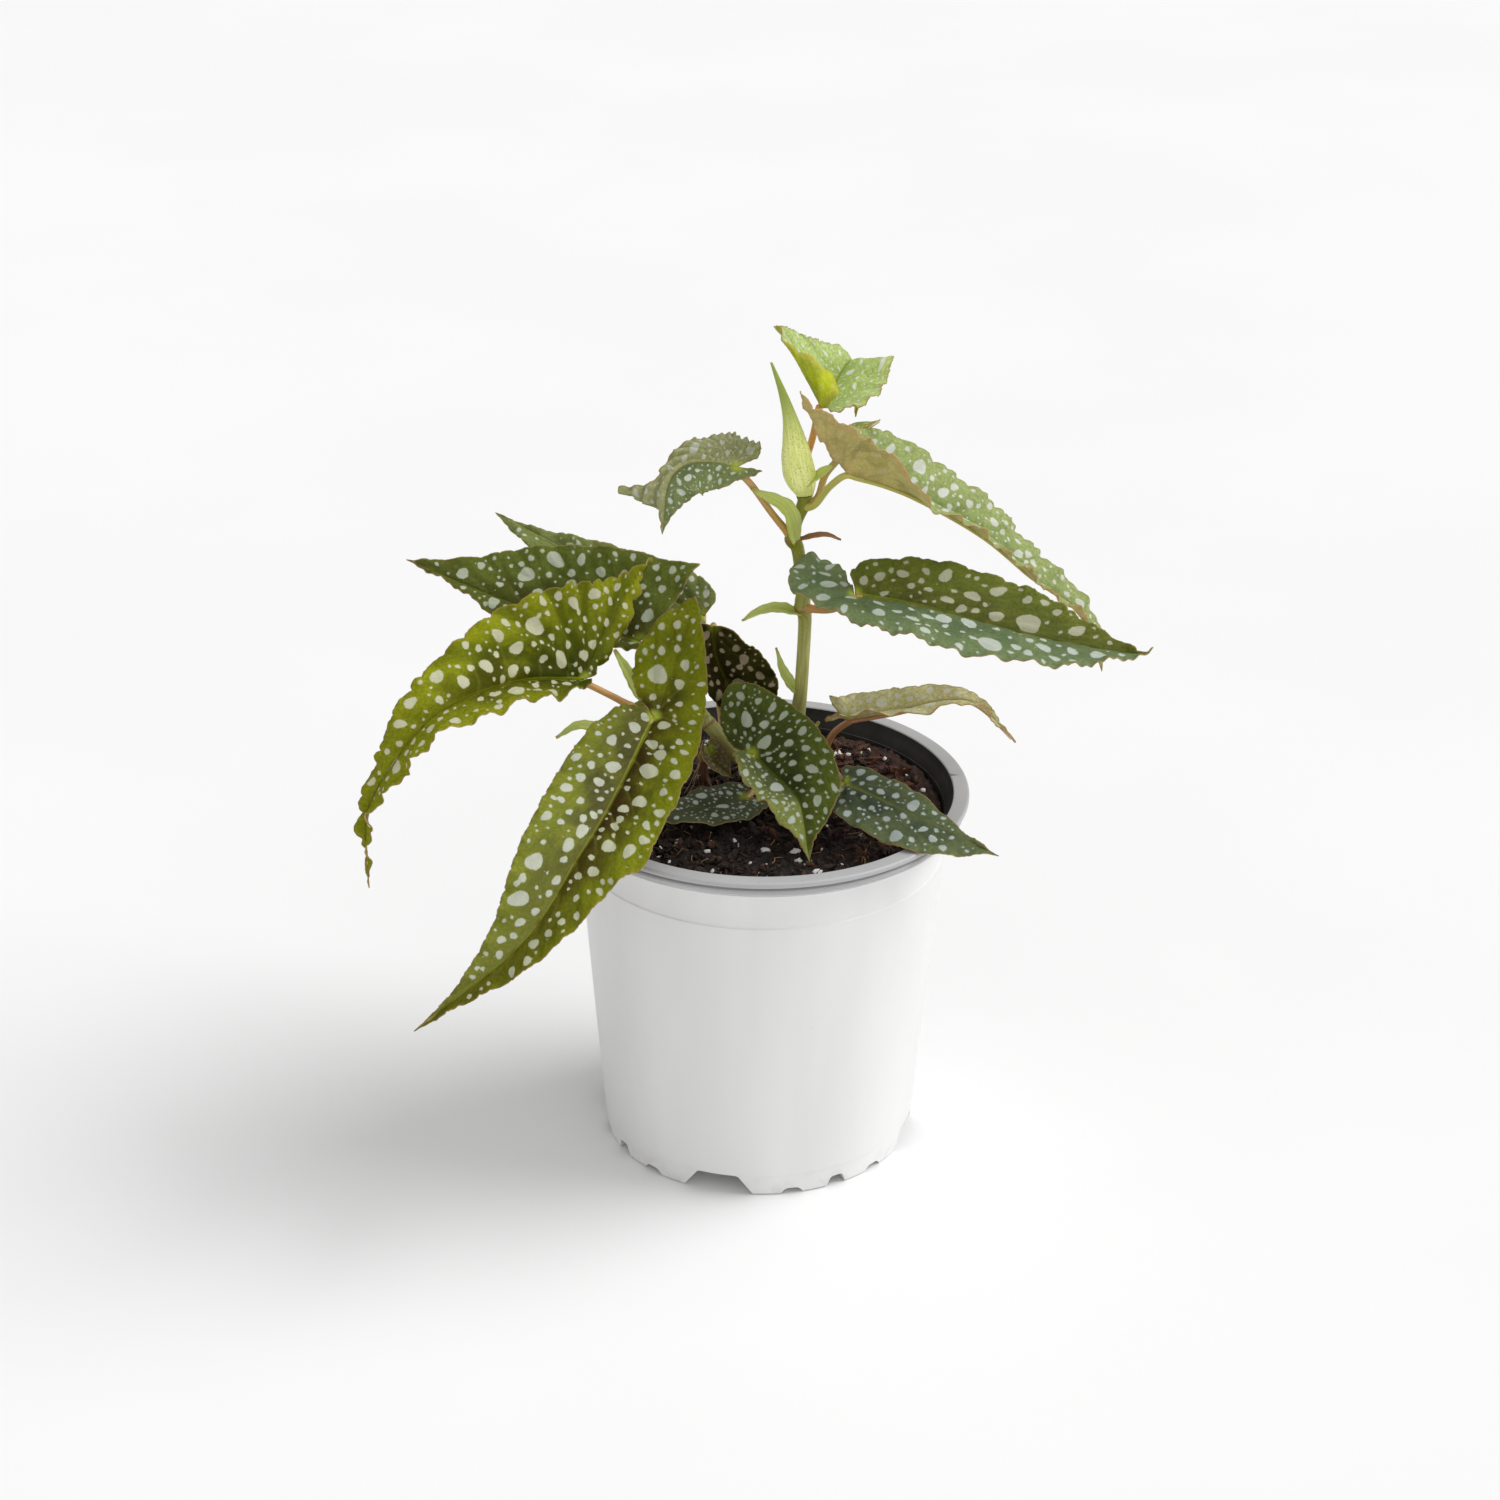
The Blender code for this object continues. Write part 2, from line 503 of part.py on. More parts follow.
def make_soil(home, cutters):
    edge = wall_r(SOIL_TOP - 4) - WALL - GAP
    top = [(r, SOIL_TOP) for r in (0, *SOIL_RINGS)] + [(edge, SOIL_TOP)]
    foot = [(wall_r(SHOULDER_Z) - WALL - GAP, SHOULDER_Z), (wall_r(SOIL_BOTTOM) - WALL - GAP, SOIL_BOTTOM),
            (0, SOIL_BOTTOM)]
    soil = turned("potting_mix", top + foot, SOIL_SECTORS, home)
    for vertex in soil.data.vertices:
        if vertex.co.z > (SOIL_TOP - 1) * MM:
            vertex.co.z = soil_height(vertex.co.x / MM, vertex.co.y / MM) * MM
    soil = combine(soil, grains(cutters), "UNION", home)
    holes = []
    for points in CANES.values():
        x, y = points[0][:2]
        radius = points[1][3] + GAP
        floor = points[0][2] - GAP
        holes.append(tube("hole", [(x, y, floor, radius), (x, y, SOIL_TOP + 9, radius)], cutters))
    soil = combine(soil, holes, "DIFFERENCE", home)
    return finish(soil, material("potting_mix", (0.055, 0.035, 0.025), 0.95), 30)


# Canes, sheath and stipules

def stipule(root, middle, tip, width, facing, home):
    """A pointed, cupped scale that starts inside its cane."""
    line = smooth_line([root, middle, tip], 3)
    forward = unit(np.gradient(line, axis=0))
    face = np.array(facing, float) - (forward * facing).sum(-1, keepdims=True) * forward
    out = np.cross(unit(face), forward)
    u = np.linspace(0, 1, len(line))
    spread = 0.5 + (width / 2 - 0.5) * np.minimum(1, 0.5 + 2 * u) * (1 - u ** 2)
    shape = bmesh.new()
    rows = []
    for place, side, up, wide in zip(line, out, unit(face), spread):
        row = []
        for s in (-1, 0, 1):
            row.append(shape.verts.new(Vector(place + side * s * wide + up * s * s * 0.3 * wide) * MM))
        rows.append(row)
    for a, b in zip(rows, rows[1:]):
        for i in range(2):
            shape.faces.new((a[i], a[i + 1], b[i + 1]))
            shape.faces.new((a[i], b[i + 1], b[i]))
    return thicken(shape, "stipule", BLADE_THICKNESS, home)


def thicken(shape, name, thickness, home):
    """An open sheet made a closed solid by Solidify, its triangles alike on both faces."""
    mesh = bpy.data.meshes.new(name)
    shape.to_mesh(mesh)
    shape.free()
    obj = link(name, mesh, home)
    solidify = obj.modifiers.new("Thickness", "SOLIDIFY")
    solidify.thickness = thickness * MM
    solidify.offset = 0
    return realise(obj, home)


def make_cane(name, home, cutters, look):
    cane = tube(name, CANES[name], home)
    scales = [stipule(*entry, cutters) for entry in STIPULES.get(name, [])]
    if scales:
        cane = combine(cane, scales, "UNION", home)
    return finish(cane, look)


def make_sheath(home, cutters, look):
    sheath = tube("growing_tip_sheath", SHEATH, home, resolution=3)
    scales = [stipule(*entry, cutters) for entry in STIPULES["growing_tip_sheath"]]
    return finish(combine(sheath, scales, "UNION", home), look)


# Leaves

def spaced(points, gap):
    """Which points of a dense line to keep for an even spacing of about gap, both ends included."""
    along = np.concatenate([[0], np.cumsum(np.linalg.norm(np.diff(points, axis=0), axis=1))])
    count = max(1, round(along[-1] / gap))
    return np.searchsorted(along, np.linspace(0, along[-1], count + 1)[1:-1])


def half_outline(blade, side, gap, wave):
    """Margin points of one half with their teeth, where their side veins start, and how far they rise."""
    lobe_t = np.linspace(0, 1, 161)
    blade_t = np.linspace(0, 1, 321)
    dense = blade.margin(side, lobe_t, blade_t)
    root = np.concatenate([np.zeros(161), blade.length * blade_t[1:]])
    inside = np.flatnonzero((dense[:, 1] > 0.7) | (dense[:, 0] < 1))
    last = inside[-1]
    pick = np.concatenate([spaced(dense[:161], gap), [160], 160 + spaced(dense[160:last + 1], gap), [last]])
    rim = dense[pick]
    root = root[pick]
    index = np.arange(len(pick))
    ease = np.clip(np.minimum(index + 1, len(pick) - index) / 4, 0, 1)
    stretch = np.where(index % 2 == 1, 1.035, 0.985)
    stretch = 1 + (stretch - 1) * ease
    rim = np.stack([root + stretch * (rim[:, 0] - root), stretch * rim[:, 1]], -1)
    s = index * gap
    rise = np.sin(0.42 * s + 0.9 * side) + 0.7 * np.sin(0.17 * s + 2 * side) + 0.4 * np.sin(0.09 * s)
    return rim, root, wave * rise * ease


def leaf_sheet(blade, gap, wave):
    """The blade as an open sheet: each half is filled from its midrib and margin, and bent to its place."""
    shape = bmesh.new()
    spine = np.linspace(0, blade.length, max(3, round(blade.length / (2.6 * gap))) + 1)
    for side in (0, 1):
        rim, root, rise = half_outline(blade, side, gap, wave)
        flat = [(x, 0.0) for x in spine] + [tuple(p) for p in rim[::-1]]
        lift = [0.0] * len(spine) + list(rise[::-1])
        border = len(flat)
        for reach, step, least in ((0.8, 3, 9), (0.45, 4, 6)):
            for i in range(step // 2, len(rim) - 1, step):
                base = np.array((root[i], 0.0))
                spot = base + reach * (rim[i] - base)
                clear = min(np.linalg.norm(np.array(flat) - spot, axis=1))
                if np.linalg.norm(rim[i] - base) > least and clear > 1.1 * gap:
                    flat.append(tuple(spot))
                    lift.append(rise[i] * reach ** 4)
        filled = geometry.delaunay_2d_cdt([Vector(p) for p in flat], [], [list(range(border))], 1, 1e-4)
        places, _, faces, sources = filled[:4]
        made = []
        for place, source in zip(places, sources):
            up = np.array([lift[source[0]]])
            spot = blade.place(np.array([place.x]), np.array([place.y]), side, up)[0]
            made.append(shape.verts.new(Vector(spot) * MM))
        for face in faces:
            corners = [made[i] for i in face]
            shape.faces.new(corners if side == 0 else corners[::-1])
    bmesh.ops.remove_doubles(shape, verts=shape.verts, dist=1e-5)
    return shape


def petiole_path(blade, points):
    """From the cane to the underside of the blade, and a little way on along the midrib."""
    under = []
    for x, radius in ((0.5, PETIOLE_R), (5, 0.9), (10, 0.55)):
        centre, _, face = blade.frame(np.array([float(x)]), 0)
        under.append((*(centre[0] - face[0] * (radius + 0.05)), radius))
    start = [(*p, PETIOLE_R) for p in points]
    guide = smooth_line([p[:3] for p in start + under[:1]], 4)
    return [(*p, PETIOLE_R) for p in guide[:-1]] + under


def make_leaf(name, home, cutters, look):
    spec = LEAVES[name]
    blade = Blade(spec["midrib"], spec["facing"], spec["halves"])
    leaf = thicken(leaf_sheet(blade, spec["gap"], spec["wave"]), name, BLADE_THICKNESS, home)
    petiole = tube("petiole", petiole_path(blade, spec["petiole"]), cutters, resolution=1)
    clear = [tube("cane_room", CANES[spec["cane"]], cutters, grow=GAP)]
    petiole = combine(petiole, clear, "DIFFERENCE", cutters)
    leaf = combine(leaf, [petiole], "UNION", home)
    return finish(leaf, look)


def main():
    clear_scene()
    home = collection("potted_cane_begonia")
    cutters = collection("cutters")
    make_pot(home, cutters)
    make_soil(home, cutters)
    green = material("cane_green", (0.2, 0.3, 0.09), 0.45)
    dry = material("dead_stem", (0.3, 0.14, 0.08), 0.8)
    pale = material("stipule_green", (0.5, 0.6, 0.2), 0.5)
    for name in CANES:
        make_cane(name, home, cutters, dry if name == "dead_stub" else green)
    make_sheath(home, cutters, pale)
    dark = material("leaf_dark", (0.07, 0.12, 0.06), 0.4)
    olive = material("leaf_olive", (0.2, 0.24, 0.04), 0.4)
    young = material("leaf_young", (0.45, 0.55, 0.15), 0.45)
    withered = material("leaf_withered", (0.45, 0.35, 0.2), 0.8)
    looks = {"leaf_front_left": olive, "leaf_left": olive, "leaf_top": young, "leaf_bud": young,
             "leaf_withered": withered}
    for name in LEAVES:
        make_leaf(name, home, cutters, looks.get(name, dark))


main()
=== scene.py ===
"""A cane begonia in a nursery pot: spotted and veined leaves, canes, sheath, potting mix and a moulded pot.

The leaves follow the same forms as the part's solids, with finer margins, veins, spots and thickness.
Lengths in the tables are millimetres, and MM turns them into metres.
"""
import math
from collections import namedtuple

import bmesh
import bpy
import numpy as np
from mathutils import Matrix, Vector, geometry, kdtree, noise


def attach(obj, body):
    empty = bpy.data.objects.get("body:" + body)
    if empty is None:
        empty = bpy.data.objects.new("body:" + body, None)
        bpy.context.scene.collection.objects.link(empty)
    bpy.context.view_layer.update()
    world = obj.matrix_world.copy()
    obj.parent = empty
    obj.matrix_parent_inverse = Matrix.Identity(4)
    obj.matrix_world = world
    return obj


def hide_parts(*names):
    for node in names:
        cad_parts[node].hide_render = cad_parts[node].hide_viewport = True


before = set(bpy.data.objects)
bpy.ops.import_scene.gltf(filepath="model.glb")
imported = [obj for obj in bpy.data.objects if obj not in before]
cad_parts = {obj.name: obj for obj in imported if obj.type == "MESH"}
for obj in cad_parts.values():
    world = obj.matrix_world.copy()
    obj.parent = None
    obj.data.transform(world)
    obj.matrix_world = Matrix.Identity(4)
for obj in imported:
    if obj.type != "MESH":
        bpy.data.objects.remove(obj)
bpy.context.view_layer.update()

MM = 0.001
BODY = "root"

# Pot. Channels under the floor are (width at the bottom, width at the top, height, directions in degrees)
POT_STEPS = 180
WALL = 1.3
FOOT_R = 61.0
SHOULDER_R = 70.7
SHOULDER_Z = 122.5
RIM_R = 80.0
POT_H = 147.0
RIM_INNER_R = 73.8
CHANNEL_START = 34.0
CHANNEL_END = 66.0
DRAIN_R = 3.2
DRAIN_AT = 48.0
QUARTERS = (0, 90, 180, 270)
WIDE_CHANNEL = (28.0, 16.0, 8.4, [q - 15 for q in QUARTERS])
ROUND_CHANNEL = (8.6, 5.0, 4.4, [q + 30 for q in QUARTERS])
LOW_CHANNEL = (9.4, 5.0, 2.5, [q + 30 + s for q in QUARTERS for s in (-17.5, 17.5)])

# The rim's groove inward from its outer radius and down from its top, and its inner lip outward and up
GROOVE = ((0, 1.8), (0.2, 2.2), (1.6, 2.5), (2.6, 2.8), (2.7, 3.5), (1.6, 4.0), (1.3, 4.6), (1.5, 5.6),
          (2.6, 6.2))
INNER_LIP = ((0.5, 1), (0.4, -0.15), (0.1, -0.4), (-0.1, -1.2), (-1.2, -4))

# Potting mix
SOIL_TOP = 137.0
SOIL_BOTTOM = 10.0
SOIL_GAP = 0.3
SOIL_SECTORS = 300
SOIL_STEP = 0.75
SOIL_SPREAD = 65.0
PEAT_CRUMBS = 1500
BARK_CRUMBS = 500
PERLITE = 150
FIBRES = 140

# Canes: points of the centre line with the radius there, foot first
MAIN_CANE = [(12, 24, 121, 3.0), (12, 24, 138, 3.0), (13, 23, 152, 3.0), (14, 22, 168, 2.9),
             (15, 21, 180, 2.6), (16, 20, 207, 2.6), (15, 19, 214, 3.2), (15, 18, 222, 2.7),
             (13, 17, 238, 2.5), (11, 17, 243, 3.1), (12, 16, 250, 2.4), (15, 16, 258, 2.7),
             (15, 16, 261, 3.0)]
LEFT_CANE = [(1, 16, 121, 2.7), (1, 16, 141, 2.8), (-4, 15, 148, 2.7), (-10, 14, 153, 2.7),
             (-21, 16, 166, 2.9), (-28, 19, 173, 2.4), (-38, 17, 176, 2.7), (-48, 12, 174, 2.4),
             (-58, 6, 170, 2.0), (-64, 3, 168, 1.4)]
RIGHT_CANE = [(20, 31, 121, 2.0), (20, 31, 142, 2.1), (20.5, 30.5, 145, 2.2), (21, 30, 148, 1.5)]
DEAD_STUB = [(-22, 18, 121, 2.3), (-22, 18, 137, 2.6), (-23, 17, 143, 2.2), (-23, 17, 150, 1.9),
             (-24, 17, 157, 1.3)]
CANES = {"main_cane": MAIN_CANE, "left_cane": LEFT_CANE, "right_shoot": RIGHT_CANE, "dead_stub": DEAD_STUB}
SHEATH = [(15, 16, 261.3, 2.5), (15, 16, 262.5, 3.3), (13.5, 13, 269, 5.2), (12, 12, 277, 5.0),
          (11, 12, 284, 4.0), (9, 12, 294, 2.4), (6, 12, 304, 1.3), (2, 12, 315, 0.4)]

# Stipules and dry bracts: root, middle and tip, width, and the way the hollow face looks
STIPULES = {
    "main_cane": [((12, 14, 243), (8, 11, 258), (-5, 12, 265), 8, (0.5, -0.6, 0.3)),
                  ((14, 18, 212), (3, 13, 216), (-8, 8, 213), 6, (0, -0.4, 0.9)),
                  ((13, 20, 178), (8, 18, 187), (5, 16, 198), 5, (0.8, -0.6, 0)),
                  ((13, 16, 243), (22, 14, 246), (29, 14, 244), 3, (0, -0.3, 0.9))],
    "left_cane": [((-45, 14, 175.5), (-51, 18, 185), (-57, 20, 195), 6, (0.5, -0.8, 0)),
                  ((-62, 4, 169), (-70, 2, 171), (-79, 0, 167), 5, (0, -0.4, 0.9)),
                  ((-22, 15, 167), (-23, 13, 172), (-24, 13, 178), 4, (0.5, -0.8, 0))],
    "right_shoot": [((20.5, 30, 146), (19, 27, 154), (22, 24, 163), 4, (-0.5, -0.8, 0))],
    "growing_tip_sheath": [((14, 13, 265), (20, 11, 271), (26, 9, 276), 6, (-0.6, -0.3, 0.6))],
}
DRY_BRACT = ("main_cane", 3)
SCALE_THICKNESS = 0.55
STRANDS = 14

# Leaf detail. Spots come in sizes of (least and largest share of the largest radius, how many to a square
# millimetre, room round each)
CELL = 0.8
EDGE_STEP = 0.7
BLADE_THICKNESS = 0.6
PETIOLE_R = 1.35
SPOT_SIZES = ((0.78, 1.0, 0.0006, 4.0), (0.48, 0.68, 0.0034, 2.6), (0.29, 0.46, 0.0085, 1.5),
              (0.15, 0.27, 0.015, 0.8))

# Stage, light and camera. The aim and the distance are metres
FLOOR = 6000.0
AIR_STRENGTH = 0.42
CAMERA_LENS = 85
CAMERA_PITCH = 26.03
CAMERA_ROLL = 0.49
CAMERA_AIM = (-0.0046, 0, 0.1623)
CAMERA_DISTANCE = 1.358


# Leaf form

# One side of a blade. lobe is how far it reaches (back, out) behind the junction, cross how far it passes
# the midrib's own line there, and wide is (distance along the midrib, width) at the widest place. fold and
# curl are degrees from the leaf's plane, in even steps from junction to tip, and pitch is how far the lobe
# turns up. belly, tip and end shape the margin, sharp makes the lobe pointed, and horn is a long tooth: its
# place along the midrib, half its breadth, and its reach.
Half = namedtuple("Half", "lobe cross wide fold curl pitch belly tip end sharp horn",
                  defaults=((0,), 0, 0.45, 0.35, 0.1, 0, (0, 1, 0)))


def bezier(points, t):
    p = np.asarray(points, float)
    t = np.asarray(t, float)[:, None]
    return (1 - t) ** 3 * p[0] + 3 * (1 - t) ** 2 * t * p[1] + 3 * (1 - t) * t * t * p[2] + t ** 3 * p[3]


def smooth_line(points, per_span=12):
    """Points of a Catmull-Rom curve through the given points."""
    p = np.asarray(points, float)
    ends = np.vstack([2 * p[0] - p[1], p, 2 * p[-1] - p[-2]])
    t = np.linspace(0, 1, per_span, endpoint=False)[:, None]
    spans = []
    for a, b, c, d in zip(ends, ends[1:], ends[2:], ends[3:]):
        spans.append(0.5 * (2 * b + (c - a) * t + (2 * a - 5 * b + 4 * c - d) * t ** 2
                            + (3 * b - a - 3 * c + d) * t ** 3))
    return np.vstack(spans + [p[-1:]])


def unit(v):
    return v / np.maximum(np.linalg.norm(v, axis=-1, keepdims=True), 1e-12)


def along(points):
    """Distance along a line at each of its points."""
    return np.concatenate([[0], np.cumsum(np.linalg.norm(np.diff(points, axis=0), axis=1))])


def resampled(line, run, at):
    """The line's columns, known at the distances run, at other distances."""
    return np.stack([np.interp(at, run, column) for column in line.T], -1)


class Blade:
    """Maps a flat leaf, x along the midrib and y out to one side, onto its bent and folded place."""

    # How far behind the junction the lobe has made most of its turn
    TURN = 25.0

    def __init__(self, midrib, facing, halves):
        self.line = smooth_line(midrib, 30)
        self.along = along(self.line)
        self.length = self.along[-1]
        self.tangent = unit(np.gradient(self.line, axis=0))
        self.facing = unit(np.array(facing, float))
        self.halves = halves

    def frame(self, x, pitch):
        """Centre, forward and face direction at x. Behind the junction they follow the lobe's turn."""
        centre = resampled(self.line, self.along, x)
        forward = unit(resampled(self.tangent, self.along, x))
        w = np.clip(x / self.length, 0, 1)[:, None]
        face = (1 - w) * self.facing[0] + w * self.facing[1]
        face = unit(face - (face * forward).sum(-1, keepdims=True) * forward)
        back = x < 0
        if back.any():
            f0, n0, reach = forward[back], face[back], -x[back]

            def turned(share):
                angle = (math.radians(pitch) * (1 - np.exp(-reach * share / self.TURN)))[:, None]
                return np.sin(angle), np.cos(angle)

            moved = np.zeros_like(f0)
            for step in (np.arange(16) + 0.5) / 16:
                sin, cos = turned(step)
                moved += (sin * n0 - cos * f0) * (reach / 16)[:, None]
            sin, cos = turned(1)
            centre[back] = self.line[0] + moved
            forward[back] = cos * f0 - sin * n0
            face[back] = sin * f0 + cos * n0
        return centre, forward, face

    def margin(self, side, lobe_t, blade_t):
        """Margin points round the lobe and on to the tip."""
        h = self.halves[side]
        b, c = h.lobe
        xw, w = h.wide
        run = self.length - xw
        corner = np.array([-b, c])
        blunt = np.array([-b, c - 0.25 * w - 0.5 * h.cross])
        into = (1 - h.sharp) * blunt + h.sharp * 0.7 * corner
        leave = np.array([-b, c + 0.55 * (w - c)]) * (1 - h.sharp)
        leave += h.sharp * (corner + 0.35 * (np.array([xw, w]) - corner))
        first = bezier([(0, 0), (-0.35 * b, -h.cross), into, corner], np.minimum(lobe_t * 2, 1))
        second = bezier([corner, leave, (xw - 0.5 * (xw + b), w), (xw, w)], np.maximum(lobe_t * 2 - 1, 0))
        round_lobe = np.where((lobe_t <= 0.5)[:, None], first, second)
        handle = (self.length - h.tip * run, h.end * w)
        forward = bezier([(xw, w), (xw + h.belly * run, w), handle, (self.length, 0)], blade_t)
        at, breadth, reach = h.horn
        forward[:, 1] += reach * np.exp(-((forward[:, 0] - at) / breadth) ** 2)
        return np.vstack([round_lobe, forward[1:]])

    def place(self, x, y, side, lift=0.0):
        """Places of flat points (x, y) on one side, raised from the surface by lift."""
        h = self.halves[side]
        centre, forward, face = self.frame(x, h.pitch)
        out = np.cross(face, forward) * (1 if side == 0 else -1)
        w = np.clip(x / self.length, 0, 1)
        fold = np.radians(np.interp(w, np.linspace(0, 1, len(h.fold)), h.fold))
        curl = np.radians(np.interp(w, np.linspace(0, 1, len(h.curl)), h.curl))
        bend = curl / h.wide[1]
        bend = np.where(np.abs(bend) < 1e-6, 1e-6, bend)
        angle = fold + bend * y
        sideways = (np.sin(angle) - np.sin(fold)) / bend - lift * np.sin(angle)
        upwards = (np.cos(fold) - np.cos(angle)) / bend + lift * np.cos(angle)
        return centre + out * sideways[:, None] + face * upwards[:, None]


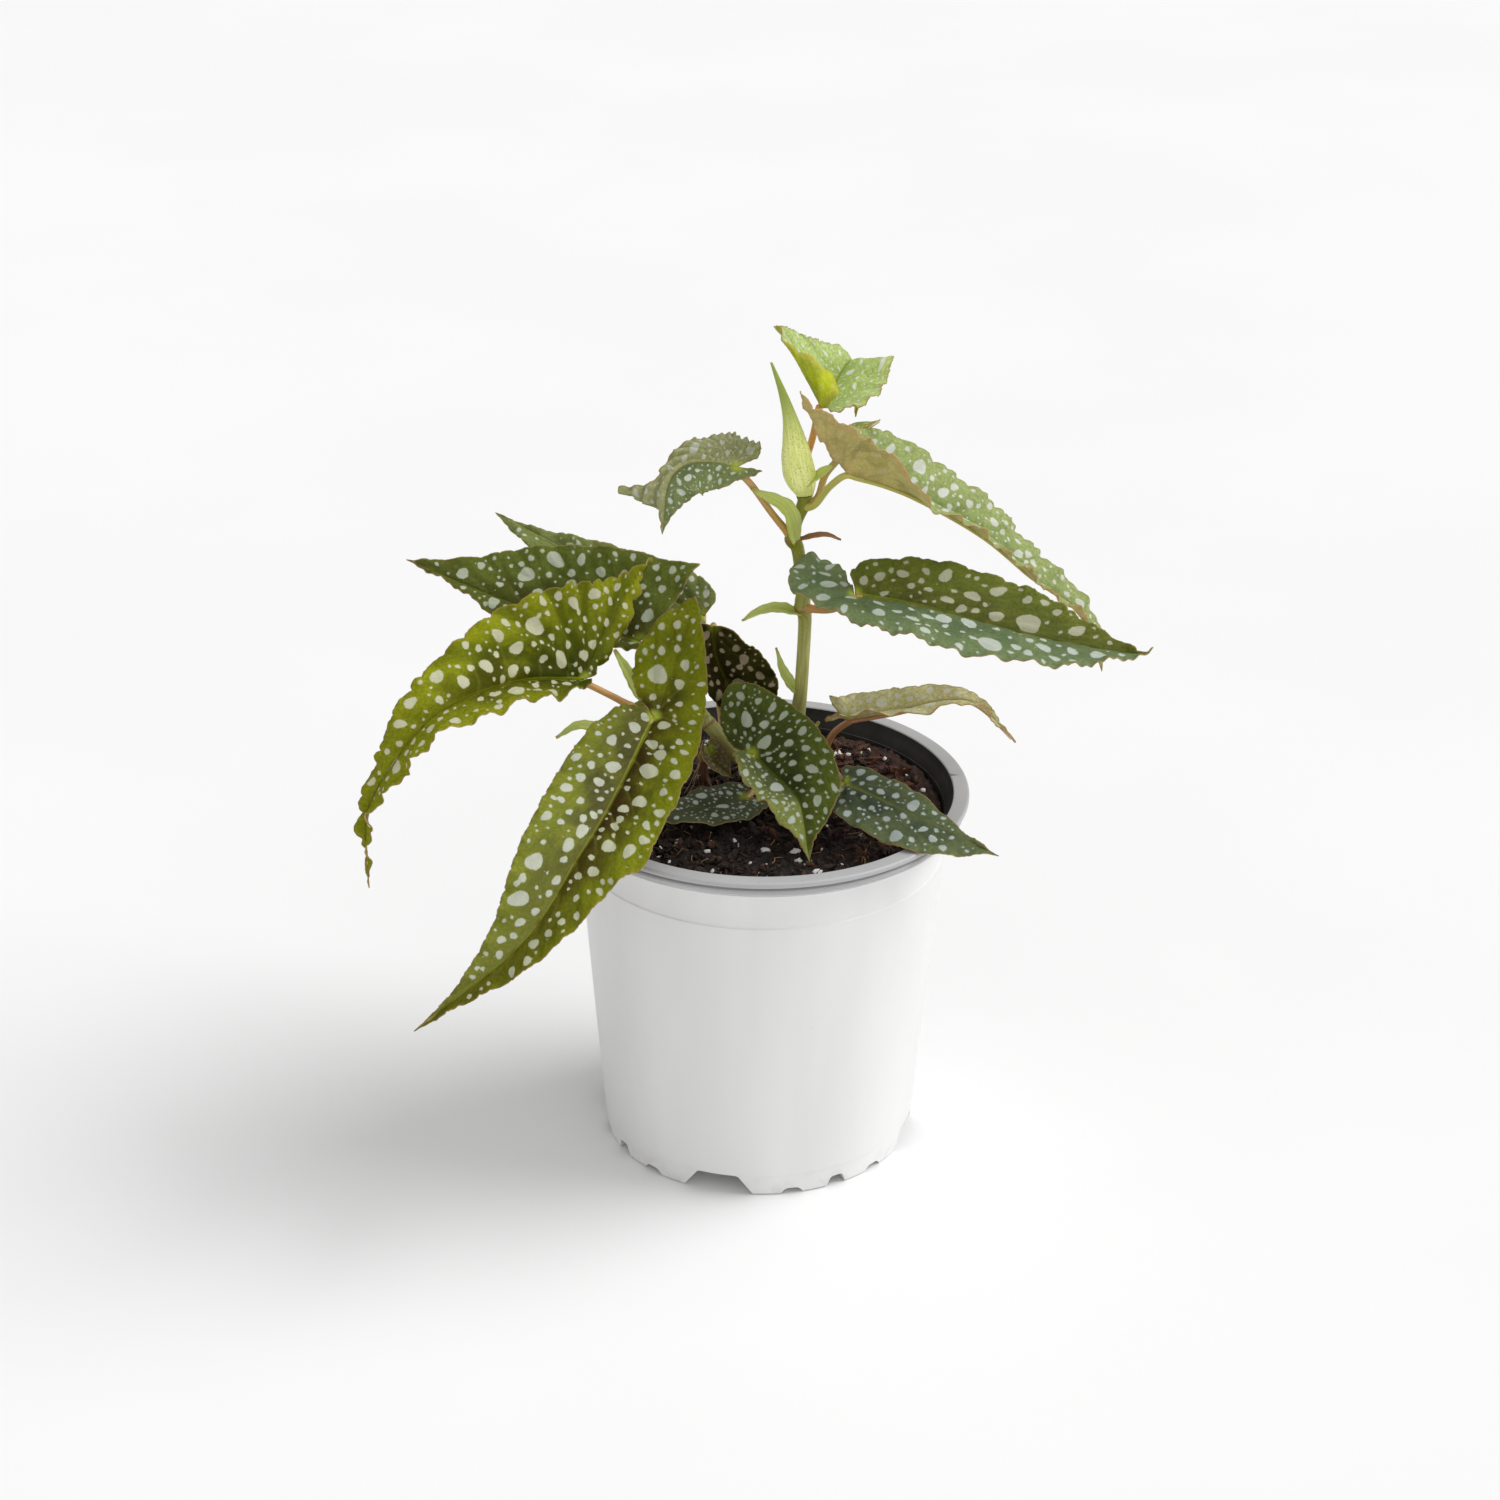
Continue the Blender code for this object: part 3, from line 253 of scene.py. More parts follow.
# Leaves: midrib places from junction to tip, the way the upper face looks at each end, the two halves (the
# left one first, seen from above with the tip ahead), the petiole's path, and the height of the margin's
# ripples. pleats are folds fanning from the junction: their height in each half and how many. scallop is
# (length, depth, tooth) of the margin's waves, look names the colours of each half, and spots is (largest
# radius, how close they lie, how drawn out they are).
LEAVES = {
    "leaf_front_left": dict(
        midrib=[(-41, -12, 182), (-55, -50, 166), (-67, -76, 155), (-87, -96, 130), (-126, -108, 100)],
        facing=[(0, -0.65, 0.75), (0, -0.75, 0.6)],
        halves=[Half((53, -3), 30, (36, 23), (10, 5), pitch=30, belly=0.2, tip=0.4, end=0.32, sharp=0.5,
                     horn=(66, 8, 4)),
                Half((2, 6), -4, (46, 23), (15, 5), (-10, 0), belly=0.6)],
        petiole=[(-40, 16, 176), (-41, 4, 177)], wave=1.3,
        scallop=(7, 0.8, 0.5), look=("brown_olive", "olive"), spots=(4.2, 1.0, 1.15)),
    "leaf_left": dict(
        midrib=[(-68, 8, 188), (-93, -10, 195), (-120, -30, 192), (-137, -38, 175), (-148, -42, 154),
                (-148, -45, 125)],
        facing=[(0.1, -0.6, 0.8), (-0.6, -0.5, 0.3)],
        halves=[Half((1, 1), -1, (44, 15), (30, 15)),
                Half((37, 46), -2, (0, 37), (25, 10), sharp=0.7, belly=0.15, tip=0.5, end=0.05)],
        petiole=[(-49, 11, 174), (-57, 11, 179)], wave=1.5, pleats=(0, 1.1, 14),
        scallop=(9, 2.6, 0.7), look=("bright", "bright"), spots=(3.8, 1.0, 1.15)),
    "leaf_back_left": dict(
        midrib=[(-48, 35, 192), (-95, 50, 200), (-140, 60, 215)],
        facing=[(0.1, -0.6, 0.8), (0, -0.6, 0.7)],
        halves=[Half((3, 3), -2, (30, 11), (20, 0)),
                Half((13, 36), -2, (4, 34), (20, 0), sharp=0.7, belly=0.6, tip=0.3, end=0.25)],
        petiole=[(-30, 19, 174), (-38, 28, 180)], wave=1.2,
        scallop=(7, 0.8, 0.4), look=("forest", "forest"), spots=(3.8, 1.0, 1.15)),
    "leaf_far_left": dict(
        midrib=[(-23, 55, 194), (-65, 74, 207), (-107, 90, 223)],
        facing=[(0.1, -0.6, 0.8), (0, -0.6, 0.7)],
        halves=[Half((4, 6), -3, (40, 13), (10, 0), tip=0.25, end=0.4),
                Half((1, 7), -2, (14, 14), (20, 0))],
        petiole=[(-25, 18, 170), (-26, 38, 179)], wave=1.0,
        scallop=(6, 0.7, 0.4), look=("fresh", "fresh"), spots=(3.0, 1.0, 1.2)),
    "leaf_behind_centre": dict(
        midrib=[(-19, 34, 199), (-18, 32, 187), (-11, 29, 172), (1, 26, 152)],
        facing=[(0.1, -0.9, 0.3), (0, -0.9, 0.4)],
        halves=[Half((0, 2), -4, (30, 18), (5, 0)), Half((2, 5), -2, (14, 10), (20, 0))],
        petiole=[(-15, 15, 159), (-16, 27, 164), (-19, 39, 180)], wave=1.0,
        scallop=(5, 0.7, 0.4), look=("shade", "shade"), spots=(3.4, 0.9, 1.2)),
    "leaf_centre": dict(
        midrib=[(-4, -5, 163), (4, -14, 159), (11, -22, 156), (15, -32, 153), (18, -50, 140)],
        facing=[(0, -0.7, 0.7), (0, -0.8, 0.5)],
        halves=[Half((28, 13), 8, (8, 25), (10, 5), pitch=10, belly=0.5),
                Half((2, 7), -4, (22, 16), (50, 30, 20), belly=0.5)],
        petiole=[(0, 16, 144), (0, 8, 150)], wave=0.9,
        scallop=(4, 0.7, 0.5), look=("moss", "blue_green"), spots=(3.0, 0.7, 1.35)),
    "leaf_low": dict(
        midrib=[(-6, 0, 142), (-24, -14, 144), (-46, -26, 145)],
        facing=[(0, -0.2, 1), (0, -0.2, 1)],
        halves=[Half((6, 6), -2, (12, 14), (5, 0)), Half((6, 6), -2, (12, 11), (5, 0))],
        petiole=[(1, 16, 141), (-2, 8, 142)], wave=0.6,
        scallop=(5, 0.5, 0.4), look=("sea_shade", "sea_shade"), spots=(2.2, 0.8, 1.1)),
    "leaf_withered": dict(
        midrib=[(-21, 9, 158.5), (-17, 7, 152), (-11, 6, 147)],
        facing=[(0, -0.6, 0.8), (0, -0.6, 0.8)],
        halves=[Half((3, 3), -1, (6, 7), (30, 30)), Half((3, 3), -1, (6, 7), (50, 50))],
        petiole=[(-23, 17, 150), (-23, 13, 154)], wave=0.5,
        scallop=(3, 0.5, 0.5), look=("withered", "withered"), spots=(1.0, 0.8, 1.1)),
    "leaf_over_rim": dict(
        midrib=[(31, -17, 157.5), (58, -41, 155.5), (88, -57, 147.5)],
        facing=[(0.1, -0.6, 0.8), (0.2, -0.6, 0.8)],
        halves=[Half((5, 6), -2, (16, 11), (-5, -5)),
                Half((8, 10), -2, (28, 16), (0,), belly=0.65, tip=0.2)],
        petiole=[(20.3, 30.7, 143), (22, 26, 144.5), (27, 10, 150)], wave=0.8,
        scallop=(6, 0.5, 0.4), look=("teal", "teal"), spots=(2.9, 0.9, 1.3)),
    "leaf_curled": dict(
        midrib=[(33, 25, 164), (52, 24, 168), (72, 22, 174), (84, 21, 172), (99, 20, 157)],
        facing=[(0, -0.2, 1), (0.3, -0.2, 1)],
        halves=[Half((9, 9), -2, (14, 9), (45, 40), (20,), pitch=90, sharp=0.7, belly=0.35),
                Half((8, 8), -2, (10, 13), (45, 20, 20), pitch=20)],
        petiole=[(20.5, 30.5, 144.5), (24.5, 29.5, 147.5), (28, 28, 156)], wave=1.0,
        scallop=(5, 0.9, 0.5), look=("pale", "pale"), spots=(2.4, 0.7, 1.2)),
    "leaf_right": dict(
        midrib=[(34, -5, 230), (55, -9, 228), (77, -13, 224), (105, -19, 219), (138, -25, 216),
                (144, -26, 219)],
        facing=[(0, -0.2, 1), (0, -0.2, 1)],
        halves=[Half((3, 8), -6, (40, 20), (35, 20), belly=0.6, tip=0.25),
                Half((26, -3), 26, (40, 22), (0, 5), pitch=14, belly=0.75, tip=0.2)],
        petiole=[(15, 19, 213.5), (26, 10, 217)], wave=1.1,
        scallop=(8, 1.2, 0.5), look=("far_olive", "silver_green"), spots=(4.6, 1.0, 1.45)),
    "leaf_upper_right": dict(
        midrib=[(30, 0, 277), (53, 6, 267), (82, 14, 247), (103, 19, 227), (122, 24, 210), (132, 28, 184)],
        facing=[(0.35, -0.2, 0.9), (0.5, -0.2, 0.8)],
        halves=[Half((6, 13), -4, (14, 19), (45, 25, 35), belly=0, tip=0.15, end=0.5),
                Half((46, 5), -8, (-2, 20), (75, 28, 26, 26, 26, 26), pitch=62, belly=0.3, sharp=0.8)],
        petiole=[(15, 16, 256.5), (19, 12, 259), (24, 7, 268)], wave=1.2,
        scallop=(7, 1.2, 0.6), look=("light", "light"), spots=(3.0, 0.9, 1.2)),
    "leaf_top": dict(
        midrib=[(21, 14, 297), (23, 24, 297), (27, 34, 301), (32, 43, 305), (35, 51, 297), (35, 55, 278)],
        facing=[(0.75, -0.3, 0.6), (0.5, 0.4, 0.75)],
        halves=[Half((24, 6), 0, (12, 34), (8, 0), pitch=380, belly=0.15, tip=0.7, end=0.05, sharp=0.8,
                     horn=(38, 10, -7)),
                Half((8, 6), -3, (20, 19), (60, 50, 30), pitch=100, belly=0.5)],
        petiole=[(15, 16, 256), (14.5, 21, 259.5), (15, 25, 269), (18, 23, 282)], wave=0.9,
        scallop=(4, 1.2, 1.0), look=("lime", "lime"), spots=(1.7, 0.5, 2.6)),
    "leaf_upper_left": dict(
        midrib=[(-10, 12, 274), (-21, 11, 276), (-30, 7, 276), (-36, 2, 270), (-38, -4, 253)],
        facing=[(0.3, -0.3, 0.95), (-0.5, -0.6, 0.4)],
        halves=[Half((9, 1), -1, (24, 13), (-25, -10), sharp=0.7),
                Half((9, 12), -2, (-2, 18), (0, 8, -5), (0, 0, -50), belly=0.1, tip=0.5, end=0.15,
                     horn=(36, 3, 19))],
        petiole=[(11, 17, 243), (3, 15, 254), (-5, 14, 266)], wave=1.0, pleats=(0, 1.2, 40),
        scallop=(5, 0.9, 0.5), look=("sea_green", "grey_green"), spots=(2.0, 0.6, 1.8)),
    "leaf_bud": dict(
        midrib=[(29, 17, 278.5), (34, 21, 283.5), (43, 24, 288.5)],
        facing=[(0, -0.3, 0.9), (0, -0.3, 0.9)],
        halves=[Half((2, 3), -1, (6, 5), (60,)), Half((2, 3), -1, (6, 5), (60,))],
        petiole=[(15, 16, 256.5), (20, 18, 259.5), (23, 20, 268)], wave=0.3,
        scallop=(3, 0.4, 0.4), look=("lime", "lime"), spots=(0.8, 0.6, 1.6)),
}

# Colours of a blade: deep green, also used as painted shade, green lit through, also used as painted light,
# brown along the middle and its share, spots, underside, gloss, how far painted light brightens it away
# from the junction (share, from, to), how strongly the midrib shows, how strongly the spots show from
# below, and how dark painted shade makes the blade about its junction.
Colours = namedtuple("Colours", "deep lit brown brownness spot under gloss glow rib below fan",
                     defaults=(0.12, (0, 0, 1), 0.6, 0.3, 0))
LOOKS = {
    "olive": Colours((0.070, 0.090, 0.014), (0.30, 0.33, 0.012), (0.095, 0.062, 0.006), 0.6,
                     (0.86, 0.90, 0.74), (0.26, 0.22, 0.07), 0.5, (0.65, 55, 115), 0.8),
    "brown_olive": Colours((0.055, 0.060, 0.004), (0.27, 0.30, 0.008), (0.060, 0.032, 0.003), 1.0,
                           (0.76, 0.78, 0.56), (0.26, 0.20, 0.07), 0.12, (0.5, 60, 115), 0.7),
    "far_olive": Colours((0.085, 0.110, 0.018), (0.20, 0.24, 0.030), (0.10, 0.085, 0.012), 0.45,
                         (0.70, 0.70, 0.50), (0.26, 0.20, 0.07), 0.2, (0.3, 20, 80), 0.7),
    "bright": Colours((0.042, 0.060, 0.002), (0.38, 0.41, 0.012), (0.060, 0.050, 0.003), 0.65,
                      (0.92, 0.91, 0.66), (0.30, 0.27, 0.05), 0.12, (0.85, 36, 84), 0.9, fan=0.85),
    "forest": Colours((0.055, 0.075, 0.009), (0.18, 0.22, 0.034), (0.070, 0.046, 0.006), 0.6,
                      (0.74, 0.80, 0.62), (0.20, 0.17, 0.07), 0.12, (0.6, 20, 80), 0.4),
    "fresh": Colours((0.085, 0.120, 0.030), (0.30, 0.36, 0.11), (0.10, 0.09, 0.02), 0.4,
                     (0.84, 0.88, 0.72), (0.20, 0.17, 0.07), 0.2, (0.8, 20, 80), 0.5),
    "shade": Colours((0.020, 0.021, 0.003), (0.055, 0.052, 0.007), (0.030, 0.016, 0.003), 0.6,
                     (0.52, 0.43, 0.29), (0.12, 0.09, 0.05), 0.05, rib=0.4),
    "sea_shade": Colours((0.050, 0.066, 0.036), (0.15, 0.18, 0.08), (0.060, 0.052, 0.028), 0.4,
                         (0.80, 0.90, 0.80), (0.12, 0.10, 0.06), 0.25, rib=0.1),
    "moss": Colours((0.026, 0.042, 0.012), (0.17, 0.22, 0.030), (0.040, 0.035, 0.006), 0.5,
                    (0.66, 0.72, 0.56), (0.20, 0.17, 0.07), 0.12, (0.75, 26, 62), 0.35, fan=0.6),
    # Painted sheen: the blue-green of this near half stands in for the sky reflected in it.
    "blue_green": Colours((0.045, 0.080, 0.045), (0.40, 0.46, 0.10), (0.055, 0.07, 0.030), 0.3,
                          (0.84, 0.92, 0.80), (0.20, 0.18, 0.08), 0.35, (0.85, 16, 52), 0.3, fan=0.4),
    "teal": Colours((0.032, 0.056, 0.044), (0.21, 0.26, 0.10), (0.040, 0.055, 0.034), 0.3,
                    (0.70, 0.80, 0.75), (0.20, 0.18, 0.08), 0.35, (0.8, 46, 82), 0.3, fan=0.5),
    # Painted sheen: the blue-green of this near half stands in for the sky reflected in it.
    "sea_green": Colours((0.070, 0.115, 0.052), (0.30, 0.37, 0.13), (0.09, 0.11, 0.045), 0.3,
                         (0.88, 0.94, 0.82), (0.20, 0.18, 0.08), 0.4, (0.6, 15, 45), 0.15),
    # Painted sheen: the blue-green of this near half stands in for the sky reflected in it.
    "silver_green": Colours((0.10, 0.175, 0.088), (0.24, 0.32, 0.13), (0.12, 0.15, 0.060), 0.25,
                            (0.82, 0.90, 0.80), (0.22, 0.19, 0.08), 0.5, rib=0.7),
    # Painted light: these colours are lightened to stand in for light that the shaded blade does not get.
    "pale": Colours((0.58, 0.62, 0.20), (0.86, 0.88, 0.46), (0.70, 0.46, 0.20), 0.3,
                    (0.98, 0.98, 0.94), (0.84, 0.66, 0.25), 0.2, rib=0.8, below=0.9),
    "light": Colours((0.21, 0.32, 0.09), (0.45, 0.57, 0.22), (0.27, 0.31, 0.10), 0.25,
                     (0.96, 0.98, 0.92), (0.78, 0.62, 0.22), 0.3, rib=0.8),
    "lime": Colours((0.40, 0.57, 0.15), (0.60, 0.75, 0.27), (0.46, 0.59, 0.15), 0.2,
                    (0.98, 0.99, 0.93), (0.70, 0.76, 0.006), 0.2, rib=0.8),
    "grey_green": Colours((0.26, 0.30, 0.11), (0.56, 0.60, 0.30), (0.38, 0.30, 0.12), 0.3,
                          (0.82, 0.84, 0.70), (0.26, 0.22, 0.10), 0.25, rib=0.15),
    "withered": Colours((0.22, 0.17, 0.06), (0.40, 0.34, 0.14), (0.15, 0.10, 0.04), 0.8,
                        (0.50, 0.46, 0.32), (0.20, 0.13, 0.06)),
}

# The slot that a leaf's colours go with. All others are dark leaves
SLOTS = {"brown_olive": "leaf_olive", "bright": "leaf_olive", "lime": "leaf_young",
         "withered": "leaf_withered"}

# Petioles and main veins: colour at the cane, and colour at the blade.
PETIOLES = {
    "leaf_left": ((0.74, 0.42, 0.14), (0.62, 0.42, 0.12)),
    "leaf_top": ((0.78, 0.34, 0.08), (0.66, 0.52, 0.12)),
    "leaf_upper_left": ((0.62, 0.36, 0.10), (0.60, 0.42, 0.22)),
    "leaf_upper_right": ((0.52, 0.48, 0.10), (0.62, 0.56, 0.12)),
    "leaf_right": ((0.60, 0.30, 0.10), (0.62, 0.52, 0.14)),
    "leaf_over_rim": ((0.22, 0.12, 0.05), (0.40, 0.36, 0.10)),
    "leaf_curled": ((0.58, 0.26, 0.12), (0.66, 0.42, 0.18)),
    "others": ((0.56, 0.36, 0.13), (0.56, 0.48, 0.13)),
}


# Scene helpers

def link(name, mesh):
    obj = bpy.data.objects.new(name, mesh)
    bpy.context.scene.collection.objects.link(obj)
    return obj


def attribute(mesh, name, values):
    """Stores one number or one vector for each vertex."""
    values = np.asarray(values, np.float32)
    kind, key = ("FLOAT", "value") if values.ndim == 1 else ("FLOAT_VECTOR", "vector")
    mesh.attributes.new(name, kind, "POINT").data.foreach_set(key, values.ravel())


def mesh_from(name, places, faces, **values):
    """A mesh of millimetre places, storing each further value for its vertices."""
    mesh = bpy.data.meshes.new(name)
    mesh.from_pydata([tuple(p) for p in np.asarray(places) * MM], [], faces)
    for key, value in values.items():
        attribute(mesh, key, value)
    return mesh


def grown(name, places, faces, look, smooth=True, **values):
    """An object of these faces in one material."""
    mesh = mesh_from(name, places, faces, **values)
    mesh.materials.append(look)
    if smooth:
        mesh.shade_smooth()
    return link(name, mesh)


def band(first, second, count, closed=True):
    """Faces between two rows of vertices that start at these numbers."""
    faces = []
    for j in range(count if closed else count - 1):
        k = (j + 1) % count
        faces.append((first + j, first + k, second + k, second + j))
    return faces


def tube(rows, sides):
    """Faces of a tube of rings with both ends filled."""
    faces = []
    for i in range(rows - 1):
        faces += band(i * sides, (i + 1) * sides, sides)
    return faces + [tuple(range(sides))[::-1], tuple((rows - 1) * sides + j for j in range(sides))]


def applied(obj):
    """Applies the object's modifiers."""
    bpy.context.view_layer.update()
    graph = bpy.context.evaluated_depsgraph_get()
    mesh = bpy.data.meshes.new_from_object(obj.evaluated_get(graph))
    obj.modifiers.clear()
    obj.data = mesh
    return obj


def thickened(obj, thickness, **settings):
    """Gives a sheet its thickness, half to each side."""
    solidify = obj.modifiers.new("Thickness", "SOLIDIFY")
    solidify.thickness = thickness * MM
    solidify.offset = 0
    for key, value in settings.items():
        setattr(solidify, key, value)
    applied(obj)
    obj.data.shade_smooth()
    return obj


def cleaned(obj):
    """Joins doubled vertices and turns every face outward."""
    shape = bmesh.new()
    shape.from_mesh(obj.data)
    bmesh.ops.remove_doubles(shape, verts=shape.verts, dist=1e-6)
    bmesh.ops.recalc_face_normals(shape, faces=shape.faces)
    shape.to_mesh(obj.data)
    shape.free()
    return obj


def from_shape(name, shape):
    mesh = bpy.data.meshes.new(name)
    shape.to_mesh(mesh)
    shape.free()
    return link(name, mesh)


def merged(name, objects):
    """One object made of all of these, keeping each one's materials."""
    bpy.ops.object.select_all(action="DESELECT")
    for obj in objects:
        obj.select_set(True)
    bpy.context.view_layer.objects.active = objects[0]
    bpy.ops.object.join()
    objects[0].name = name
    return objects[0]


def place(piece, slot, *nodes):
    """Sets what a finished piece rides on and hides the model's nodes that it stands for; the slot is not
    used.
    """
    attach(piece, BODY)
    if nodes:
        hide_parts(*nodes)


# Materials

# What the mesh says of each place on a blade: distance to the margin and to the midrib, the midrib's width,
# how much of a side vein is there, distance to the junction, height of the pleats, distance to a spot.
Marks = namedtuple("Marks", "edge rib rib_width vein junction pleat spot")


def shade(colour, share):
    return tuple(share * c for c in colour)


def between(a, b, share):
    """The colour that lies this share of the way from a to b."""
    return tuple((1 - share) * x + share * y for x, y in zip(a, b))


class Value:
    """A node's output. Sums, differences and products of it are further nodes."""

    def __init__(self, look, socket):
        self.look = look
        self.socket = socket

    def __add__(self, other):
        return self.look.maths("ADD", self, other)

    def __sub__(self, other):
        return self.look.maths("SUBTRACT", self, other)

    def __mul__(self, other):
        return self.look.maths("MULTIPLY", self, other)


class Look:
    """A material with a small helper for adding and joining its nodes."""

    def __init__(self, name, specular=0.5):
        self.material = bpy.data.materials.new(name)
        self.material.use_nodes = True
        self.tree = self.material.node_tree
        self.shader = self.tree.nodes["Principled BSDF"]
        self.shader.inputs["Specular IOR Level"].default_value = specular

    def node(self, kind, inputs, output=0, **settings):
        made = self.tree.nodes.new("ShaderNode" + kind)
        for key, value in settings.items():
            setattr(made, key, value)
        for key, value in inputs.items():
            self.put(made.inputs[key], value)
        return Value(self, made.outputs[output])

    def put(self, socket, value):
        if isinstance(value, Value):
            self.tree.links.new(value.socket, socket)
        elif socket.type == "RGBA":
            socket.default_value = (*value, 1)
        else:
            socket.default_value = value

    def read(self, name, output="Fac"):
        return self.node("Attribute", {}, output, attribute_name=name)

    def maths(self, operation, a, b=0.0):
        return self.node("Math", {0: a, 1: b}, operation=operation)

    def ramp(self, value, low, high, to_low=0.0, to_high=1.0):
        """Smooth step of value from low to high."""
        ends = {"Value": value, "From Min": low, "From Max": high, "To Min": to_low, "To Max": to_high}
        return self.node("MapRange", ends, interpolation_type="SMOOTHSTEP")

    def mix(self, amount, a, b, blend="MIX"):
        return self.node("Mix", {0: amount, 6: a, 7: b}, 2, data_type="RGBA", blend_type=blend,
                         clamp_factor=True)

    def towards(self, colour, other, value, low, high, start=0.0, end=1.0):
        """The colour turned to the other as the value goes from low to high, by shares start to end."""
        return self.mix(self.ramp(value, low, high, start, end), colour, other)

    def mottled(self, colour, value, low, high):
        """The colour made darker and lighter, by factors low to high."""
        factor = self.ramp(value, 0.3, 0.75, low, high)
        grey = self.node("CombineColor", {0: factor, 1: factor, 2: factor})
        return self.mix(1.0, colour, grey, "MULTIPLY")

    def noise(self, vector, scale, detail=3.0):
        inputs = {"Vector": vector, "Scale": scale, "Detail": detail, "Roughness": 0.55}
        return self.node("TexNoise", inputs)

    def cells(self, vector, scale, output="Distance", feature="F1"):
        return self.node("TexVoronoi", {"Vector": vector, "Scale": scale}, output, feature=feature)

    def bump(self, height, strength, distance):
        return self.node("Bump", {"Strength": strength, "Distance": distance, "Height": height})

    def scaled(self, vector, x, y, z=1.0):
        return self.node("Mapping", {"Vector": vector, "Scale": (x, y, z)})

    def position(self):
        return self.node("TexCoord", {}, "Object")

    def split(self, vector):
        separate = self.node("SeparateXYZ", {"Vector": vector}).socket.node
        return [Value(self, socket) for socket in separate.outputs]

    def finish(self, colour, rough, normal, glow=None, glow_share=0.0):
        """Sets the shader's inputs. glow is the colour of light let through."""
        for key, value in (("Base Color", colour), ("Roughness", rough), ("Normal", normal)):
            self.put(self.shader.inputs[key], value)
        if glow is not None:
            through = self.node("BsdfTranslucent", {"Color": glow, "Normal": normal})
            surface = Value(self, self.shader.outputs[0])
            both = self.node("MixShader", {0: glow_share, 1: surface, 2: through})
            self.put(self.tree.nodes["Material Output"].inputs["Surface"], both)
        return self.material


def blade_green(look, c, flat, marks, fine, cell):
    """Dark middle with painted light at the margin, brown along the middle, painted shade in the pleats'
    valleys, painted light away from the junction and painted shade about it, and veined.
    """
    broad = look.noise(flat, 0.07, 2)
    green = look.towards(c.lit, c.deep, broad, 0.35, 0.65)
    # Painted light: near the margin the green turns to the lit green, standing in for light let through the
    # thin edge.
    green = look.mix(look.ramp(marks.edge, 1, 13) * 0.7, c.lit, green)
    reach = broad * -9 + look.noise(flat, 0.035) * -16
    middle = look.ramp(marks.rib + reach, -12, 4, c.brownness, 0)
    green = look.mix(middle, green, c.brown)
    # Painted shade in the valleys of the pleats.
    green = look.towards(green, c.deep, marks.pleat, -0.9, -0.1, 0.6, 0)
    # Painted light: away from the junction the green brightens to the lit green, standing in for light let
    # through.
    green = look.towards(green, c.lit, marks.junction, c.glow[1], c.glow[2], 0, c.glow[0])
    # Painted shade: the green darkens about the junction.
    green = look.towards(green, c.deep, marks.junction, 5, 42, c.fan, 0)
    green = look.mottled(green, fine, 0.74, 1.3)
    green = look.towards(green, c.deep, cell, 0, 0.12, 0.28, 0)
    pale = look.mix(0.55, c.lit, (0.45, 0.50, 0.12))
    return look.mix(marks.vein * 0.32, green, pale), middle


def spot_cover(look, flat, marks):
    """The ragged distance to a spot's edge, and how far spots and small dots cover the green."""
    ragged = marks.spot + (look.noise(flat, 1.1) * 0.9 - 0.45)
    size = look.split(look.cells(flat, 0.34, "Color"))[0]
    dots = look.ramp(look.cells(flat, 0.34) - (size * 0.26 - 0.12), -0.03, 0.03, 1, 0)
    grouped = look.ramp(look.noise(flat, 0.25, 1), 0.45, 0.55)
    dots = dots * look.maths("MAXIMUM", grouped, look.ramp(marks.edge, 2.5, 6, 1, 0)) * 0.85
    cover = look.maths("MAXIMUM", look.ramp(ragged, -0.22, 0.10, 1, 0), dots)
    return ragged, cover * look.ramp(marks.rib, 0.5, 1.1)


def spot_silver(look, c, flat, vein, ragged):
    """Silver with darker specks and pits, greener at each spot's edge and over the side veins."""
    silver = look.towards(c.spot, shade(c.spot, 0.82), look.noise(flat, 2.6, 4), 0.35, 0.75)
    silver = look.towards(silver, look.mix(0.5, c.spot, c.lit), ragged, -0.6, -0.1, 0, 0.35)
    pit = look.mix(0.55, c.spot, c.deep)
    silver = look.towards(silver, pit, look.cells(flat, 1.3), 0.1, 0.3, 0.35, 0)
    return look.mix(vein * 0.3, silver, c.lit)


def with_midrib(look, c, marks, colour):
    """The colour with a lit midrib and a bright junction over it."""
    # Painted shade carried on: the midrib and junction colours dim with the blade's lit green, so the
    # blades painted dark for shade get a darker midrib.
    bright = min(1.0, 0.2 + 3 * c.lit[1])
    far_rib = look.mix(0.4, c.lit, shade((0.42, 0.44, 0.06), bright))
    rib_colour = look.towards(shade((0.55, 0.62, 0.05), bright), far_rib, marks.junction, 1, 50)
    on_rib = look.ramp(look.maths("DIVIDE", marks.rib, marks.rib_width), 0.6, 1.15, 1, 0)
    colour = look.mix(on_rib * c.rib, colour, rib_colour)
    return look.towards(colour, shade((0.62, 0.74, 0.08), bright), marks.junction, 1, 4.2, 0.9, 0)


def leaf_upper(look_name):
    """The green with its silver spots and midrib, and a thin brown rim. Light passes through it."""
    c = LOOKS[look_name]
    look = Look("leaf_upper_" + look_name, c.gloss)
    flat = look.read("flat", "Vector")
    marks = Marks(*(look.read(name) for name in Marks._fields))
    fine = look.noise(flat, 0.9, 4)
    cell = look.cells(flat, 2.4, feature="DISTANCE_TO_EDGE")
    green, middle = blade_green(look, c, flat, marks, fine, cell)
    ragged, spots = spot_cover(look, flat, marks)
    silver = spot_silver(look, c, flat, marks.vein, ragged)
    colour = with_midrib(look, c, marks, look.mix(spots, green, silver))
    colour = look.towards(colour, (0.42, 0.30, 0.12), marks.edge + fine * 0.35, 0.25, 0.75, 0.85, 0)
    rough = look.ramp(spots, 0, 1, 0.36, 0.5) + fine * 0.12
    height = look.ramp(cell, 0, 0.2) * 0.5 + spots * 0.8 + look.noise(flat, 0.5, 4) * 1.2
    lit_through = tuple(min(1, 2.4 * v) for v in c.lit)
    through = look.mix(spots, look.mix(middle, lit_through, c.brown), silver)
    return look.finish(colour, rough, look.bump(height, 0.5, 0.0008), through, 0.3)


